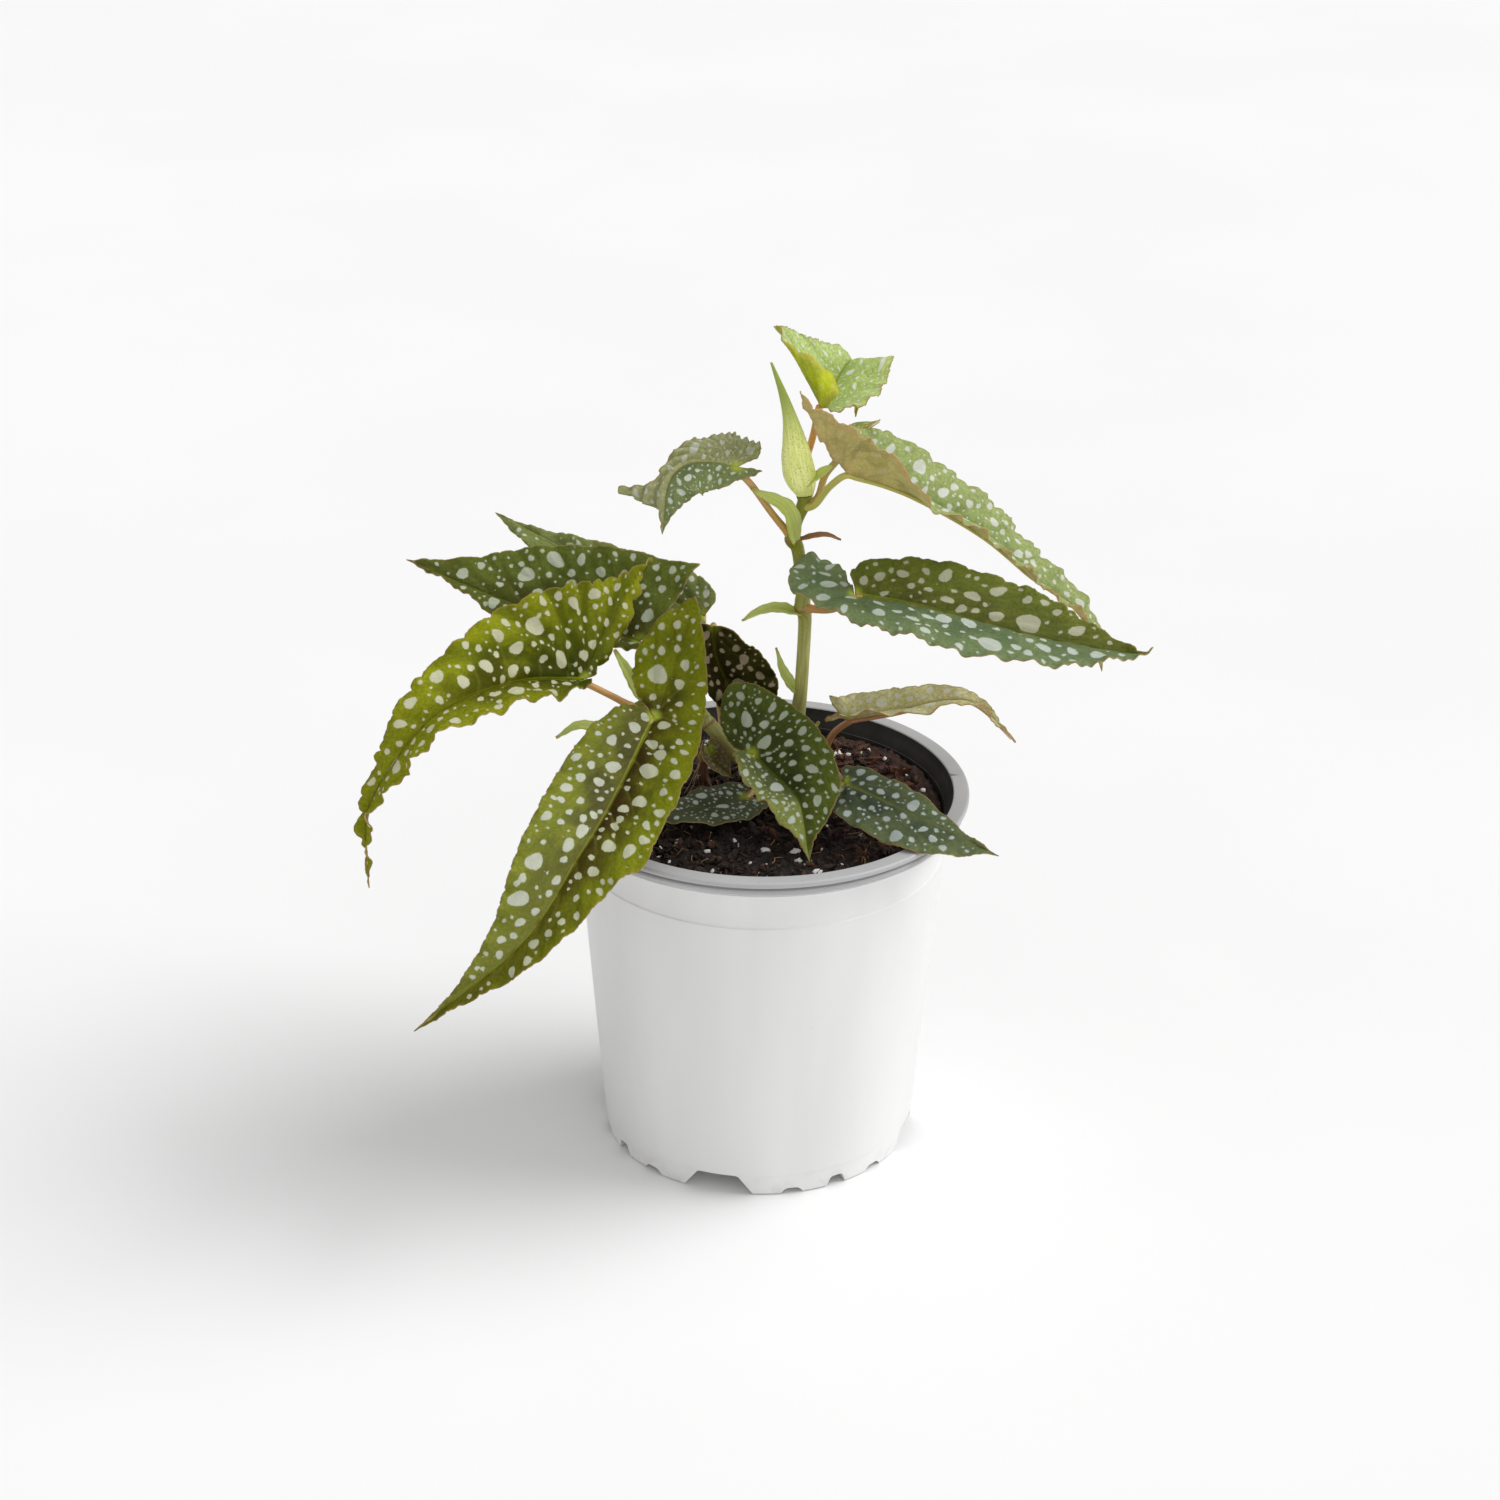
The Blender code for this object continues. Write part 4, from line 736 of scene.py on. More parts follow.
def leaf_under(look_name):
    """The paler underside: pink to the margin, darkened with painted shade towards the junction, with the
    spots faint from below.
    """
    c = LOOKS[look_name]
    look = Look("leaf_under_" + look_name, 0.15)
    flat = look.read("flat", "Vector")
    broad = look.noise(flat, 0.09)
    fine = look.noise(flat, 1.0, 4)
    # Painted shade: the underside darkens towards the junction, in broad patches.
    shaded = look.towards(shade(c.under, 0.45), shade(c.under, 0.62), look.read("junction"), 2, 26)
    colour = look.towards(shaded, c.under, broad, 0.35, 0.65)
    pink = between(c.under, (0.75, 0.36, 0.24), 0.4)
    colour = look.towards(colour, pink, look.read("edge") + broad * 6, 3, 8, 0.8, 0)
    spotted = between(c.under, c.spot, 0.8 * c.below)
    colour = look.towards(colour, spotted, look.read("spot"), -0.3, 0.3, c.below, 0)
    colour = look.mix(look.read("vein") * 0.7, colour, shade(c.under, 0.45))
    colour = look.mottled(colour, fine, 0.85, 1.15)
    cell = look.cells(flat, 1.6, feature="DISTANCE_TO_EDGE")
    colour = look.towards(colour, (0.5, 0.42, 0.2), cell, 0, 0.12, 0.25, 0)
    height = look.ramp(cell, 0, 0.2, 1, 0) + fine * 0.8
    return look.finish(colour, look.ramp(fine, 0.2, 0.8, 0.42, 0.6), look.bump(height, 0.35, 0.0004),
                       c.lit, 0.3)


def leaf_rim(look_name):
    look = Look("leaf_rim_" + look_name)
    place_at = look.position()
    warm = (0.50, 0.20, 0.08) if look_name in ("lime", "pale", "light") else (0.36, 0.20, 0.07)
    colour = look.towards(warm, (0.45, 0.38, 0.14), look.noise(place_at, 260, 2), 0.4, 0.6)
    return look.finish(colour, 0.55, look.bump(look.noise(place_at, 1500, 2), 0.3, 0.0003))


def petiole_look(name, low, high):
    """Petiole and main veins: one colour at the cane, another at the blade, drawn out in fine streaks."""
    look = Look(name)
    stem = look.read("stem", "Vector")
    streak = look.noise(look.scaled(stem, 0.10, 1.6), 1.0, 4)
    colour = look.towards(low, high, look.split(stem)[2] + (streak * 0.5 - 0.25), 0, 1)
    colour = look.towards(colour, shade(low, 0.6), streak, 0.45, 0.7, 0, 0.45)
    colour = look.towards(colour, (0.75, 0.68, 0.45), look.cells(stem, 1.1), 0.08, 0.22, 0.5, 0)
    height = streak + look.noise(stem, 3.0) * 0.5
    return look.finish(colour, look.ramp(streak, 0.3, 0.7, 0.34, 0.5), look.bump(height, 0.35, 0.0005))


# Leaves

def scallops(arc, draw, length, depth, tooth):
    """How far the margin stands out at each place: uneven rounded waves, each with a small tooth."""
    knots = [0.0]
    while knots[-1] < arc[-1]:
        knots.append(knots[-1] + length * draw.uniform(0.55, 1.45))
    heights = draw.uniform(0.35, 1.0, len(knots))
    index = np.clip(np.searchsorted(knots, arc, side="right") - 1, 0, len(knots) - 2)
    knots = np.array(knots)
    u = (arc - knots[index]) / (knots[index + 1] - knots[index])
    rounded = np.sin(np.pi * u) ** 0.8 - 0.6
    pointed = np.exp(-((u - 0.9) / 0.1) ** 2)
    little = 0.2 * np.sin(2 * np.pi * arc / 2.3 + draw.uniform(0, 6)) * np.sin(2 * np.pi * arc / 13 + 1)
    return depth * heights[index] * rounded + tooth * (0.8 * heights[index] * pointed + little)


def fine_margin(blade, side, spec, draw):
    """Margin of one half at even steps from junction to tip, and how far it ripples up and down."""
    dense = blade.margin(side, np.linspace(0, 1, 400), np.linspace(0, 1, 800))
    run = along(dense)
    arc = np.linspace(0, run[-1], round(run[-1] / EDGE_STEP) + 1)
    rim = resampled(dense, run, arc)
    ahead = unit(np.gradient(rim, axis=0))
    outward = np.stack([-ahead[:, 1], ahead[:, 0]], -1)
    ease = np.clip(np.minimum(arc, arc[-1] - arc) / 8, 0, 1)
    rim = rim + outward * (ease * scallops(arc, draw, *spec["scallop"]))[:, None]
    rise = np.sin(0.42 * arc + 0.9 * side) + 0.7 * np.sin(0.17 * arc + 2 * side) + 0.4 * np.sin(0.09 * arc)
    rise = rise + 0.45 * np.sin(1.15 * arc + 5 * np.sin(0.07 * arc) + side) * draw.uniform(0.6, 1.2)
    inside = (rim[:, 1] > 0.25) | (rim[:, 0] < 1)
    inside[0] = False
    inside[-4:] = False
    return rim[inside], (spec["wave"] * rise * ease)[inside]


def veins_of(blade, side):
    """Side veins of one half as flat lines of points, each with its strength there."""
    lines = []
    fan = (0.3, 0.5, 0.68, 0.86) if max(blade.halves[side].lobe) > 15 else (0.55, 0.85)
    ends = [(0.0, blade.margin(side, np.array([t]), np.array([0.0, 1.0]))[0]) for t in fan]
    for t in np.linspace(0.06, 0.86, max(3, round(blade.length / 17))):
        end = blade.margin(side, np.array([1.0]), np.array([0.0, min(1, t + 0.1)]))[1]
        ends.append((blade.length * t * 0.92, end))
    s = np.linspace(0, 0.97, 40)[:, None]
    reach = np.linspace(0, 1, 20)[:, None]
    for root, end in ends:
        start = np.array([root, 0.0])
        chord = end - start
        size = np.linalg.norm(chord)
        if size < 5:
            continue
        bulge = np.array([-1.0, 0.25]) * 0.1 * size * (1 if root > 0 else 0.4)
        main = start + s * chord + bulge * 4 * s * (1 - s) * (1 - s)
        lines.append(np.hstack([main, 1 - 0.75 * s]))
        if size < 14:
            continue
        sideways = unit(np.array([[-chord[1], chord[0]]]))[0]
        fork = main[22]
        for turn in (-1, 1):
            tip = end + sideways * turn * 0.17 * size
            tip = fork + 0.85 * (tip - fork)
            branch = fork + reach * (tip - fork) + turn * sideways * 0.05 * size * 4 * reach * (1 - reach)
            lines.append(np.hstack([branch, 0.45 * (1 - 0.7 * reach)]))
    return np.vstack(lines)


def nearest(targets, points):
    """Distance from each point to the nearest target, and which target that is."""
    tree = kdtree.KDTree(len(targets))
    for i, p in enumerate(targets):
        tree.insert((p[0], p[1], 0), i)
    tree.balance()
    hits = [tree.find((p[0], p[1], 0)) for p in points]
    return np.array([h[2] for h in hits]), np.array([h[1] for h in hits])


def inner_points(outline):
    """An even spread of points over the outline's box and clear of the outline, as triangles' corners."""
    low = outline.min(0)
    high = outline.max(0)
    found = []
    for i, y in enumerate(np.arange(low[1], high[1], CELL * 0.866)):
        x = np.arange(low[0] + (CELL / 2 if i % 2 else 0), high[0], CELL)
        found.append(np.stack([x, np.full(len(x), y)], -1))
    found = np.vstack(found)
    return found[nearest(outline, found)[0] > 0.62 * CELL]


def membrane(points, border, values):
    """A smooth spread of the border's values over the inner points."""
    out = np.zeros(len(points))
    for start in range(0, len(points), 2000):
        part = points[start:start + 2000]
        gaps = np.linalg.norm(part[:, None] - border[None], axis=2) + 1e-3
        weight = gaps ** -3
        out[start:start + 2000] = (weight * values).sum(1) / weight.sum(1)
    return out


def scatter_spots(places, edge, rib, vein_way, spec, draw):
    """Spots on the flat leaf: large ones in the middle first, then ever smaller ones round them."""
    largest, spacing, stretch = spec["spots"]
    spots = []
    centres = np.zeros((0, 2))
    radii = np.zeros(0)
    area = len(places) * CELL * CELL * 0.866
    widening = 0.5 + 0.5 * stretch
    for low, high, share, room in SPOT_SIZES:
        wanted = round(area * share * (4.2 / largest) ** 1.5 / spacing)
        for _ in range(30 * wanted):
            if wanted == 0:
                break
            i = draw.integers(len(places))
            r = max(0.42, largest * draw.uniform(low, high))
            if edge[i] < r + 0.8 or rib[i] < 0.75 * r + 0.9:
                continue
            if r > 0.45 * largest and edge[i] < 1.6 * r:
                continue
            gap = room * spacing * draw.uniform(0.4, 1.5)
            if draw.random() < 0.05:
                gap = -0.35 * r
            off = np.linalg.norm(centres - places[i], axis=1)
            if (off < radii + r * widening + gap).any():
                continue
            centres = np.vstack([centres, places[i]])
            radii = np.append(radii, r * widening)
            way = vein_way[i] + draw.normal(0, 0.3)
            drawn = stretch * draw.uniform(0.85, 1.25)
            spots.append((places[i], r, way, drawn, draw.uniform(0, 6.28, 2)))
            wanted -= 1
    return spots


def spot_field(places, spots):
    """Signed distance from each point to the nearest spot's edge, negative inside."""
    field = np.full(len(places), 3.0)
    for centre, r, way, drawn, phase in spots:
        offset = places - centre
        close = np.abs(offset).max(1) < r * drawn + 3.2
        local = offset[close]
        u = (local[:, 0] * math.cos(way) + local[:, 1] * math.sin(way)) / drawn ** 0.5
        v = (-local[:, 0] * math.sin(way) + local[:, 1] * math.cos(way)) * drawn ** 0.5
        angle = np.arctan2(v, u)
        ragged = r * (1 + 0.09 * np.sin(2 * angle + phase[0]) + 0.07 * np.sin(3 * angle + phase[1]))
        field[close] = np.minimum(field[close], np.hypot(u, v) - ragged)
    return field


def filled_outline(border, values):
    """Even triangles within a flat outline: their points, faces, and the border's values spread inward."""
    points = [Vector(p) for p in np.vstack([border, inner_points(border)])]
    filled = geometry.delaunay_2d_cdt(points, [], [list(range(len(border)))], 1, 1e-4)
    made = np.array([tuple(p) for p in filled[0]])
    lift = membrane(made, border[::2], values[::2])
    source = np.array([s[0] if s else -1 for s in filled[3]])
    on_border = (source >= 0) & (source < len(border))
    lift[on_border] = values[source[on_border]]
    return made, filled[2], lift


def relief(edge, rib, gap, strength):
    """Height of the quilting between side veins, which lie sunk like the midrib. gap is the way to one."""
    inward = np.clip(edge / 4, 0, 1) * np.clip(rib / 4, 0, 1)
    quilted = 1.15 * inward * (1 - np.exp(-(gap / 3.2) ** 2))
    sunk = 0.45 * np.clip(edge / 2, 0, 1) * strength * np.exp(-(gap / 0.8) ** 2)
    return quilted - sunk - 0.45 * np.exp(-(rib / 1.6) ** 2)


def half_sheet(blade, side, spec, draw):
    """One half as a sheet: its bent places, its faces, and what its colours need at each place."""
    spine = np.linspace(0, blade.length, round(blade.length / CELL) + 1)
    rim, rise = fine_margin(blade, side, spec, draw)
    border = np.vstack([np.stack([spine, 0 * spine], -1), rim[::-1]])
    flat, faces, lift = filled_outline(border, np.concatenate([0 * spine, rise[::-1]]))
    x, y = flat.T
    edge = nearest(np.vstack([rim, 0.5 * (rim[1:] + rim[:-1])]), flat)[0]
    rib = np.where(x > 0, np.abs(y), np.hypot(x, y))
    veins = veins_of(blade, side)
    gap, which = nearest(veins[:, :2], flat)
    strength = veins[which, 2]
    fold = spec.get("pleats", (0, 0, 1))
    pleat = np.clip(np.hypot(x, y) / 25, 0, 1) * np.sin(fold[2] * np.arctan2(y, x))
    lift = lift + min(1.0, blade.length / 90) * relief(edge, rib, gap, strength) + fold[side] * pleat
    data = {"x": x, "y": y, "side": np.full(len(x), side), "edge": edge, "rib": rib,
            "rib_width": 0.95 - 0.75 * np.clip(x / blade.length, 0, 1),
            "vein": strength * np.exp(-(gap / 0.5) ** 2), "pleat": pleat * (fold[side] > 0),
            "way": np.arctan2(np.gradient(veins[:, 1]), np.gradient(veins[:, 0]))[which]}
    return blade.place(x, y, side, lift), faces, data


def blade_mesh(name, blade, spec, draw):
    """Both halves of a blade as one sheet, with its spots."""
    halves = [half_sheet(blade, side, spec, draw) for side in (0, 1)]
    places = np.vstack([h[0] for h in halves])
    data = {key: np.concatenate([h[2][key] for h in halves]) for key in halves[0][2]}
    start = len(halves[0][0])
    faces = list(halves[0][1]) + [[start + i for i in face][::-1] for face in halves[1][1]]
    used = np.zeros(len(places), bool)
    used[np.unique(faces)] = True
    field = np.zeros(len(places))
    for side in (0, 1):
        on = (data["side"] == side) & used
        flat = np.stack([data["x"][on], data["y"][on]], -1)
        spots = scatter_spots(flat, data["edge"][on], data["rib"][on], data["way"][on], spec, draw)
        field[on] = spot_field(flat, spots)
    mirrored = np.where(data["side"] == 0, data["y"], -data["y"])
    kept = {key: data[key] for key in ("edge", "rib", "rib_width", "vein", "pleat")}
    mesh = mesh_from(name, places, faces, spot=field, junction=np.hypot(data["x"], data["y"]),
                     flat=np.stack([data["x"], mirrored, 0 * mirrored], -1), **kept)
    mesh.polygons.foreach_set("material_index", data["side"][np.array(faces)[:, 0]].astype(np.int32))
    shape = bmesh.new()
    shape.from_mesh(mesh)
    bmesh.ops.delete(shape, geom=[v for v in shape.verts if not v.link_faces], context="VERTS")
    bmesh.ops.remove_doubles(shape, verts=shape.verts, dist=2e-5)
    shape.to_mesh(mesh)
    shape.free()
    return mesh


def thick_blade(name, mesh, look_names):
    """The blade with its thickness, thinner at the margin, and upper and under materials for each half."""
    obj = link(name, mesh)
    for maker in (leaf_upper, leaf_under):
        for look_name in look_names:
            mesh.materials.append(maker(look_name))
    mesh.materials.append(leaf_rim(look_names[0]))
    edge = np.zeros(len(mesh.vertices), np.float32)
    mesh.attributes["edge"].data.foreach_get("value", edge)
    group = obj.vertex_groups.new(name="thickness")
    for i, e in enumerate(edge):
        group.add([i], float(min(1, 0.6 + 0.2 * e)), "REPLACE")
    thickened(obj, BLADE_THICKNESS, vertex_group="thickness", use_even_offset=False, material_offset=2,
              material_offset_rim=4)
    obj.vertex_groups.clear()
    return obj


def ring(centre, across, third, angle, width, height):
    """Places round a centre, as far out as width and height say in the two directions."""
    return centre + np.outer(width * np.cos(angle), across) + np.outer(height * np.sin(angle), third)


def swept(name, points, look, sides=20, step=0.9, knobs=(), wobble=0.0, seed=0):
    """A stem along (x, y, z, radius) points. knobs are (distance along, height, half length) swellings."""
    dense = smooth_line(points, 24)
    run = along(dense[:, :3])
    at = np.linspace(0, run[-1], max(4, round(run[-1] / step)) + 1)
    line = resampled(dense, run, at)
    centre = line[:, :3]
    radius = line[:, 3].copy()
    for place_along, height, breadth in knobs:
        radius += height * np.exp(-((at - place_along) / breadth) ** 2)
    ahead = unit(np.gradient(centre, axis=0))
    across = np.zeros_like(ahead)
    across[0] = unit(np.cross(ahead[0], (0.31, 0.9, 0.27)))
    for i in range(1, len(ahead)):
        across[i] = unit(across[i - 1] - ahead[i] * (across[i - 1] @ ahead[i]))
    third = np.cross(ahead, across)
    angle = np.linspace(0, 2 * np.pi, sides, endpoint=False)
    ridge = 1 + wobble * (np.sin(3 * angle + seed) + 0.6 * np.sin(7 * angle + 2 * seed))
    rings = []
    for i in range(len(at)):
        r = radius[i] * (ridge + 0.5 * wobble * np.sin(5 * angle + at[i] / 6))
        rings.append(ring(centre[i], across[i], third[i], angle, r, r))
    stem = np.stack([np.repeat(at, sides), np.tile(angle, len(at)) * np.repeat(radius, sides),
                     np.repeat(at / at[-1], sides)], -1)
    return grown(name, np.vstack(rings), tube(len(at), sides), look, stem=stem)


def petiole_points(blade, points):
    """From the cane to the underside of the blade, then on under the midrib as it thins to the tip."""
    under = []
    stations = [(0.5, PETIOLE_R * 0.95)]
    for share in np.linspace(0.04, 0.97, 14):
        stations.append((share * blade.length, max(0.18, 0.95 * (1 - share) ** 0.8)))
    for x, radius in stations:
        centre, _, face = blade.frame(np.array([float(x)]), 0)
        under.append((*(centre[0] - face[0] * (0.85 + 0.75 * radius)), radius))
    start = [(*p, PETIOLE_R) for p in points]
    start[0] = (*points[0], PETIOLE_R * 1.25)
    return start + under


def make_leaf(name, number):
    """Blade and petiole grown together as one piece."""
    spec = LEAVES[name]
    draw = np.random.default_rng(100 + number)
    blade = Blade(spec["midrib"], spec["facing"], spec["halves"])
    sheet = thick_blade(name + "_blade", blade_mesh(name, blade, spec, draw), spec["look"])
    stem_look = petiole_look(name + "_petiole", *PETIOLES.get(name, PETIOLES["others"]))
    stem = swept(name + "_stem", petiole_points(blade, spec["petiole"]), stem_look, sides=14,
                 knobs=[(1.5, 0.35, 2.0)], wobble=0.03, seed=number)
    place(merged(name + "_leaf", [sheet, stem]), SLOTS.get(spec["look"][0], "leaf_dark"), name)


# Pot

def wall_r(z):
    """Outer radius of the pot's wall at a height."""
    if z <= SHOULDER_Z:
        return FOOT_R + (SHOULDER_R - FOOT_R) * z / SHOULDER_Z
    return SHOULDER_R - 0.5 + 0.08 * (z - SHOULDER_Z)


def turned(name, profile):
    """Turns an (r, z) profile about the pot's axis."""
    mesh = bpy.data.meshes.new(name)
    joined = [(i, i + 1) for i in range(len(profile) - 1)]
    mesh.from_pydata([(r * MM, 0, z * MM) for r, z in profile], joined, [])
    obj = link(name, mesh)
    screw = obj.modifiers.new("Turn", "SCREW")
    screw.steps = screw.render_steps = POT_STEPS
    screw.use_merge_vertices = True
    screw.merge_threshold = 1e-5
    return cleaned(applied(obj))


def cut(obj, others):
    """Cuts the others from the object."""
    group = bpy.data.collections.new("cutters")
    bpy.context.scene.collection.children.link(group)
    for other in others:
        for old in list(other.users_collection):
            old.objects.unlink(other)
        group.objects.link(other)
    boolean = obj.modifiers.new("Cut", "BOOLEAN")
    boolean.operation = "DIFFERENCE"
    boolean.operand_type = "COLLECTION"
    boolean.collection = group
    applied(obj)
    for other in others:
        bpy.data.objects.remove(other, do_unlink=True)
    bpy.data.collections.remove(group)


def channel(bottom, top, height, angle, grow):
    """A radial trough under the floor, wider at the bottom."""
    start = CHANNEL_START - grow
    low = bottom / 2 + grow
    high = top / 2 + grow
    section = [(-low, -1), (low, -1), (low, 0), (high, height + grow), (-high, height + grow), (-low, 0)]
    shape = bmesh.new()
    face = shape.faces.new([shape.verts.new((start * MM, y * MM, z * MM)) for y, z in section])
    pushed = bmesh.ops.extrude_face_region(shape, geom=[face])["geom"]
    ends = [v for v in pushed if isinstance(v, bmesh.types.BMVert)]
    bmesh.ops.translate(shape, verts=ends, vec=((CHANNEL_END - start) * MM, 0, 0))
    bmesh.ops.recalc_face_normals(shape, faces=shape.faces)
    ridges = [e for e in shape.edges if all(v.co.z > 0.4 * height * MM for v in e.verts)
              and abs(e.verts[0].co.x - e.verts[1].co.x) > 1e-3]
    bmesh.ops.bevel(shape, geom=ridges, offset=1.2 * MM, segments=4, affect="EDGES", profile=0.5)
    obj = from_shape("channel", shape)
    obj.rotation_euler.z = math.radians(angle)
    return obj


def channels(grow):
    made = []
    for bottom, top, height, angles in (WIDE_CHANNEL, ROUND_CHANNEL, LOW_CHANNEL):
        made += [channel(bottom, top, height, angle, grow) for angle in angles]
    return made


def drain(angle):
    shape = bmesh.new()
    bmesh.ops.create_cone(shape, cap_ends=True, segments=32, radius1=DRAIN_R * MM, radius2=DRAIN_R * MM,
                          depth=20 * MM)
    way = math.radians(angle)
    bmesh.ops.translate(shape, verts=shape.verts,
                        vec=(DRAIN_AT * math.cos(way) * MM, DRAIN_AT * math.sin(way) * MM, 0))
    return from_shape("drain", shape)


def rounded(r, z, radius, first, last):
    """Seven points of an arc about (r, z), from the first to the last angle."""
    return [(r + radius * math.cos(a), z + radius * math.sin(a)) for a in np.linspace(first, last, 7)]


def pot_profile():
    """Outer profile from the rim's top down: rounded lip, groove, second band, bead, collar and ledge."""
    lip = rounded(RIM_R - 0.9, POT_H - 1, 0.9, math.pi / 2, 0)
    groove = [(RIM_R - inward, POT_H - down) for inward, down in GROOVE]
    bead = rounded(RIM_R - 2.9, POT_H - 7, 0.55, 1.2, -1.4)
    neck = POT_H - 9.5
    collar = [(wall_r(neck) + 0.6, neck + 0.9), (wall_r(neck), neck)]
    ledge = [(wall_r(SHOULDER_Z + 0.7), SHOULDER_Z + 0.7), (SHOULDER_R - 0.35, SHOULDER_Z + 0.35),
             (SHOULDER_R, SHOULDER_Z), (SHOULDER_R - 0.02, SHOULDER_Z - 1)]
    wall = [(wall_r(z), z) for z in np.linspace(SHOULDER_Z - 8, 10, 12)]
    foot = [(wall_r(8.9), 8.9), (wall_r(8.6) - 0.22, 8.6), (wall_r(0.6) - 0.15, 0.6), (FOOT_R - 0.5, 0.1),
            (FOOT_R - 0.9, 0), (0, 0)]
    return [(0, POT_H - 0.1)] + lip + groove + bead + collar + ledge + wall + foot


def pot_inside():
    lip = [(RIM_INNER_R + out, POT_H + up) for out, up in INNER_LIP]
    under_lip = (wall_r(POT_H - 7) - WALL + 0.5, POT_H - 6.6)
    sides = [(wall_r(z) - WALL, z) for z in (POT_H - 9.5, SHOULDER_Z, WALL)]
    return [(0, POT_H + 1), *lip, under_lip, *sides, (0, WALL)]


def pot_look():
    """White moulded wall, grey rim band and black inside, with faint flow marks, scuffs and dust."""
    look = Look("moulded_plastic")
    place_at = look.position()
    x, y, z = look.split(place_at)
    radius = look.maths("SQRT", x * x + y * y)
    inner = radius - (z * 0.079 + 0.0603)
    high = look.ramp(z, (POT_H - 7.2) * MM, (POT_H - 7.0) * MM)
    wall_side = look.ramp(inner, -0.0001, 0.0001, 1, 0) * look.maths("SUBTRACT", 1.0, high)
    lip_side = look.ramp(radius, 0.07382, 0.07392, 1, 0) * high
    dark = look.maths("MAXIMUM", wall_side, lip_side) * look.ramp(z, 0.0095, 0.0100)
    rim = look.ramp(z, (POT_H - 6.4) * MM, (POT_H - 6.2) * MM)
    cloud = look.noise(look.scaled(place_at, 30, 30, 5), 1.0)
    dust = look.noise(place_at, 900, 2)
    white = look.towards((0.77, 0.77, 0.765), (0.82, 0.82, 0.815), cloud, 0.3, 0.7)
    white = look.towards(white, (0.45, 0.42, 0.38), dust, 0.72, 0.78, 0, 0.25)
    low = look.ramp(z, 0, 0.012, 0.25, 0) * look.ramp(look.noise(place_at, 120, 4), 0.45, 0.65)
    white = look.mix(low, white, (0.5, 0.46, 0.40))
    brushed = look.noise(look.scaled(place_at, 12, 12, 900), 1.0)
    grey = look.towards((0.41, 0.41, 0.415), (0.48, 0.48, 0.485), brushed, 0.3, 0.7)
    grey = look.towards(grey, (0.16, 0.14, 0.12), dust, 0.68, 0.76, 0, 0.5)
    patches = look.noise(place_at, 60, 5)
    black = look.towards((0.010, 0.010, 0.010), (0.035, 0.033, 0.030), patches, 0.35, 0.7)
    colour = look.mix(dark, look.mix(rim, white, grey), black)
    rough = look.ramp(cloud, 0.2, 0.8, 0.34, 0.48) + dark * 0.1
    height = look.noise(place_at, 1800, 2) + brushed * (rim * 2)
    return look.finish(colour, rough, look.bump(height, 0.12, 0.0002))


def make_pot():
    pot = turned("nursery_pot", pot_profile())
    inside = turned("pot_inside", pot_inside())
    cut(inside, channels(WALL))
    cut(pot, [inside])
    cut(pot, channels(0))
    cut(pot, [drain(angle) for angle in WIDE_CHANNEL[3]])
    pot.data.materials.clear()
    pot.data.materials.append(pot_look())
    pot.data.shade_smooth()
    pot.data.set_sharp_from_angle(angle=math.radians(32))
    place(pot, "pot_plastic", "pot")


# Potting mix

def swell(x, y, size, level, shift=0):
    """Smooth unevenness from -1 to 1 with lumps of about this size."""
    return noise.noise(Vector((x / size + shift, y / size, level)))


def soil_height(x, y):
    """The mix's gentle slope with its clods."""
    return SOIL_TOP + 0.035 * x + 0.02 * y + 1.5 * swell(x, y, 15, 0.3) + 0.9 * swell(x, y, 6, 4.1)


def soil_surface(x, y):
    """The slope with finer lumps, grit and ridges on top of the clods."""
    lumps = abs(swell(x, y, 3.1, 9.2)) - 0.2
    ridge = 1 - 2 * abs(swell(x, y, 4.5, 5.7, 7))
    return soil_height(x, y) + 2.8 * lumps + swell(x, y, 1.3, 2.2) + 1.1 * ridge - 0.8


def soil_look():
    look = Look("peat_mix")
    place_at = look.position()
    x, y, _ = look.split(place_at)
    fine = look.noise(place_at, 420, 5)
    red = look.towards((0.010, 0.005, 0.003), (0.050, 0.018, 0.009), x + y * 0.6, -0.01, 0.06)
    colour = look.towards((0.004, 0.0025, 0.002), red, look.noise(place_at, 45, 4), 0.35, 0.65)
    colour = look.towards(colour, (0.10, 0.045, 0.022), fine, 0.55, 0.75, 0, 0.7)
    colour = look.towards(colour, (0.28, 0.18, 0.10), look.cells(place_at, 700), 0.08, 0.16, 0.5, 0)
    height = fine + look.noise(place_at, 1400, 4) * 0.6
    return look.finish(colour, look.ramp(fine, 0.3, 0.7, 0.7, 0.98), look.bump(height, 0.9, 0.0006))


def crumb_look(name, dark, light):
    """Peat, bark or straw: fine grain with broader light and dark."""
    look = Look(name)
    place_at = look.position()
    fibre = look.noise(look.scaled(place_at, 500, 500, 1600), 1.0, 4)
    colour = look.mix(fibre * 0.7 + look.noise(place_at, 90, 2) * 0.3, dark, light)
    return look.finish(colour, look.ramp(fibre, 0.3, 0.7, 0.65, 0.95), look.bump(fibre, 0.8, 0.0005))


def perlite_look():
    """Chalky white with faintly grey pores."""
    look = Look("perlite_grain")
    place_at = look.position()
    cell = look.cells(place_at, 1800)
    white = look.towards((0.72, 0.70, 0.66), (0.9, 0.89, 0.87), look.noise(place_at, 300), 0.35, 0.7)
    colour = look.towards(white, (0.45, 0.42, 0.38), cell, 0.1, 0.35, 0.35, 0)
    return look.finish(colour, 0.85, look.bump(cell, 0.8, 0.0003))


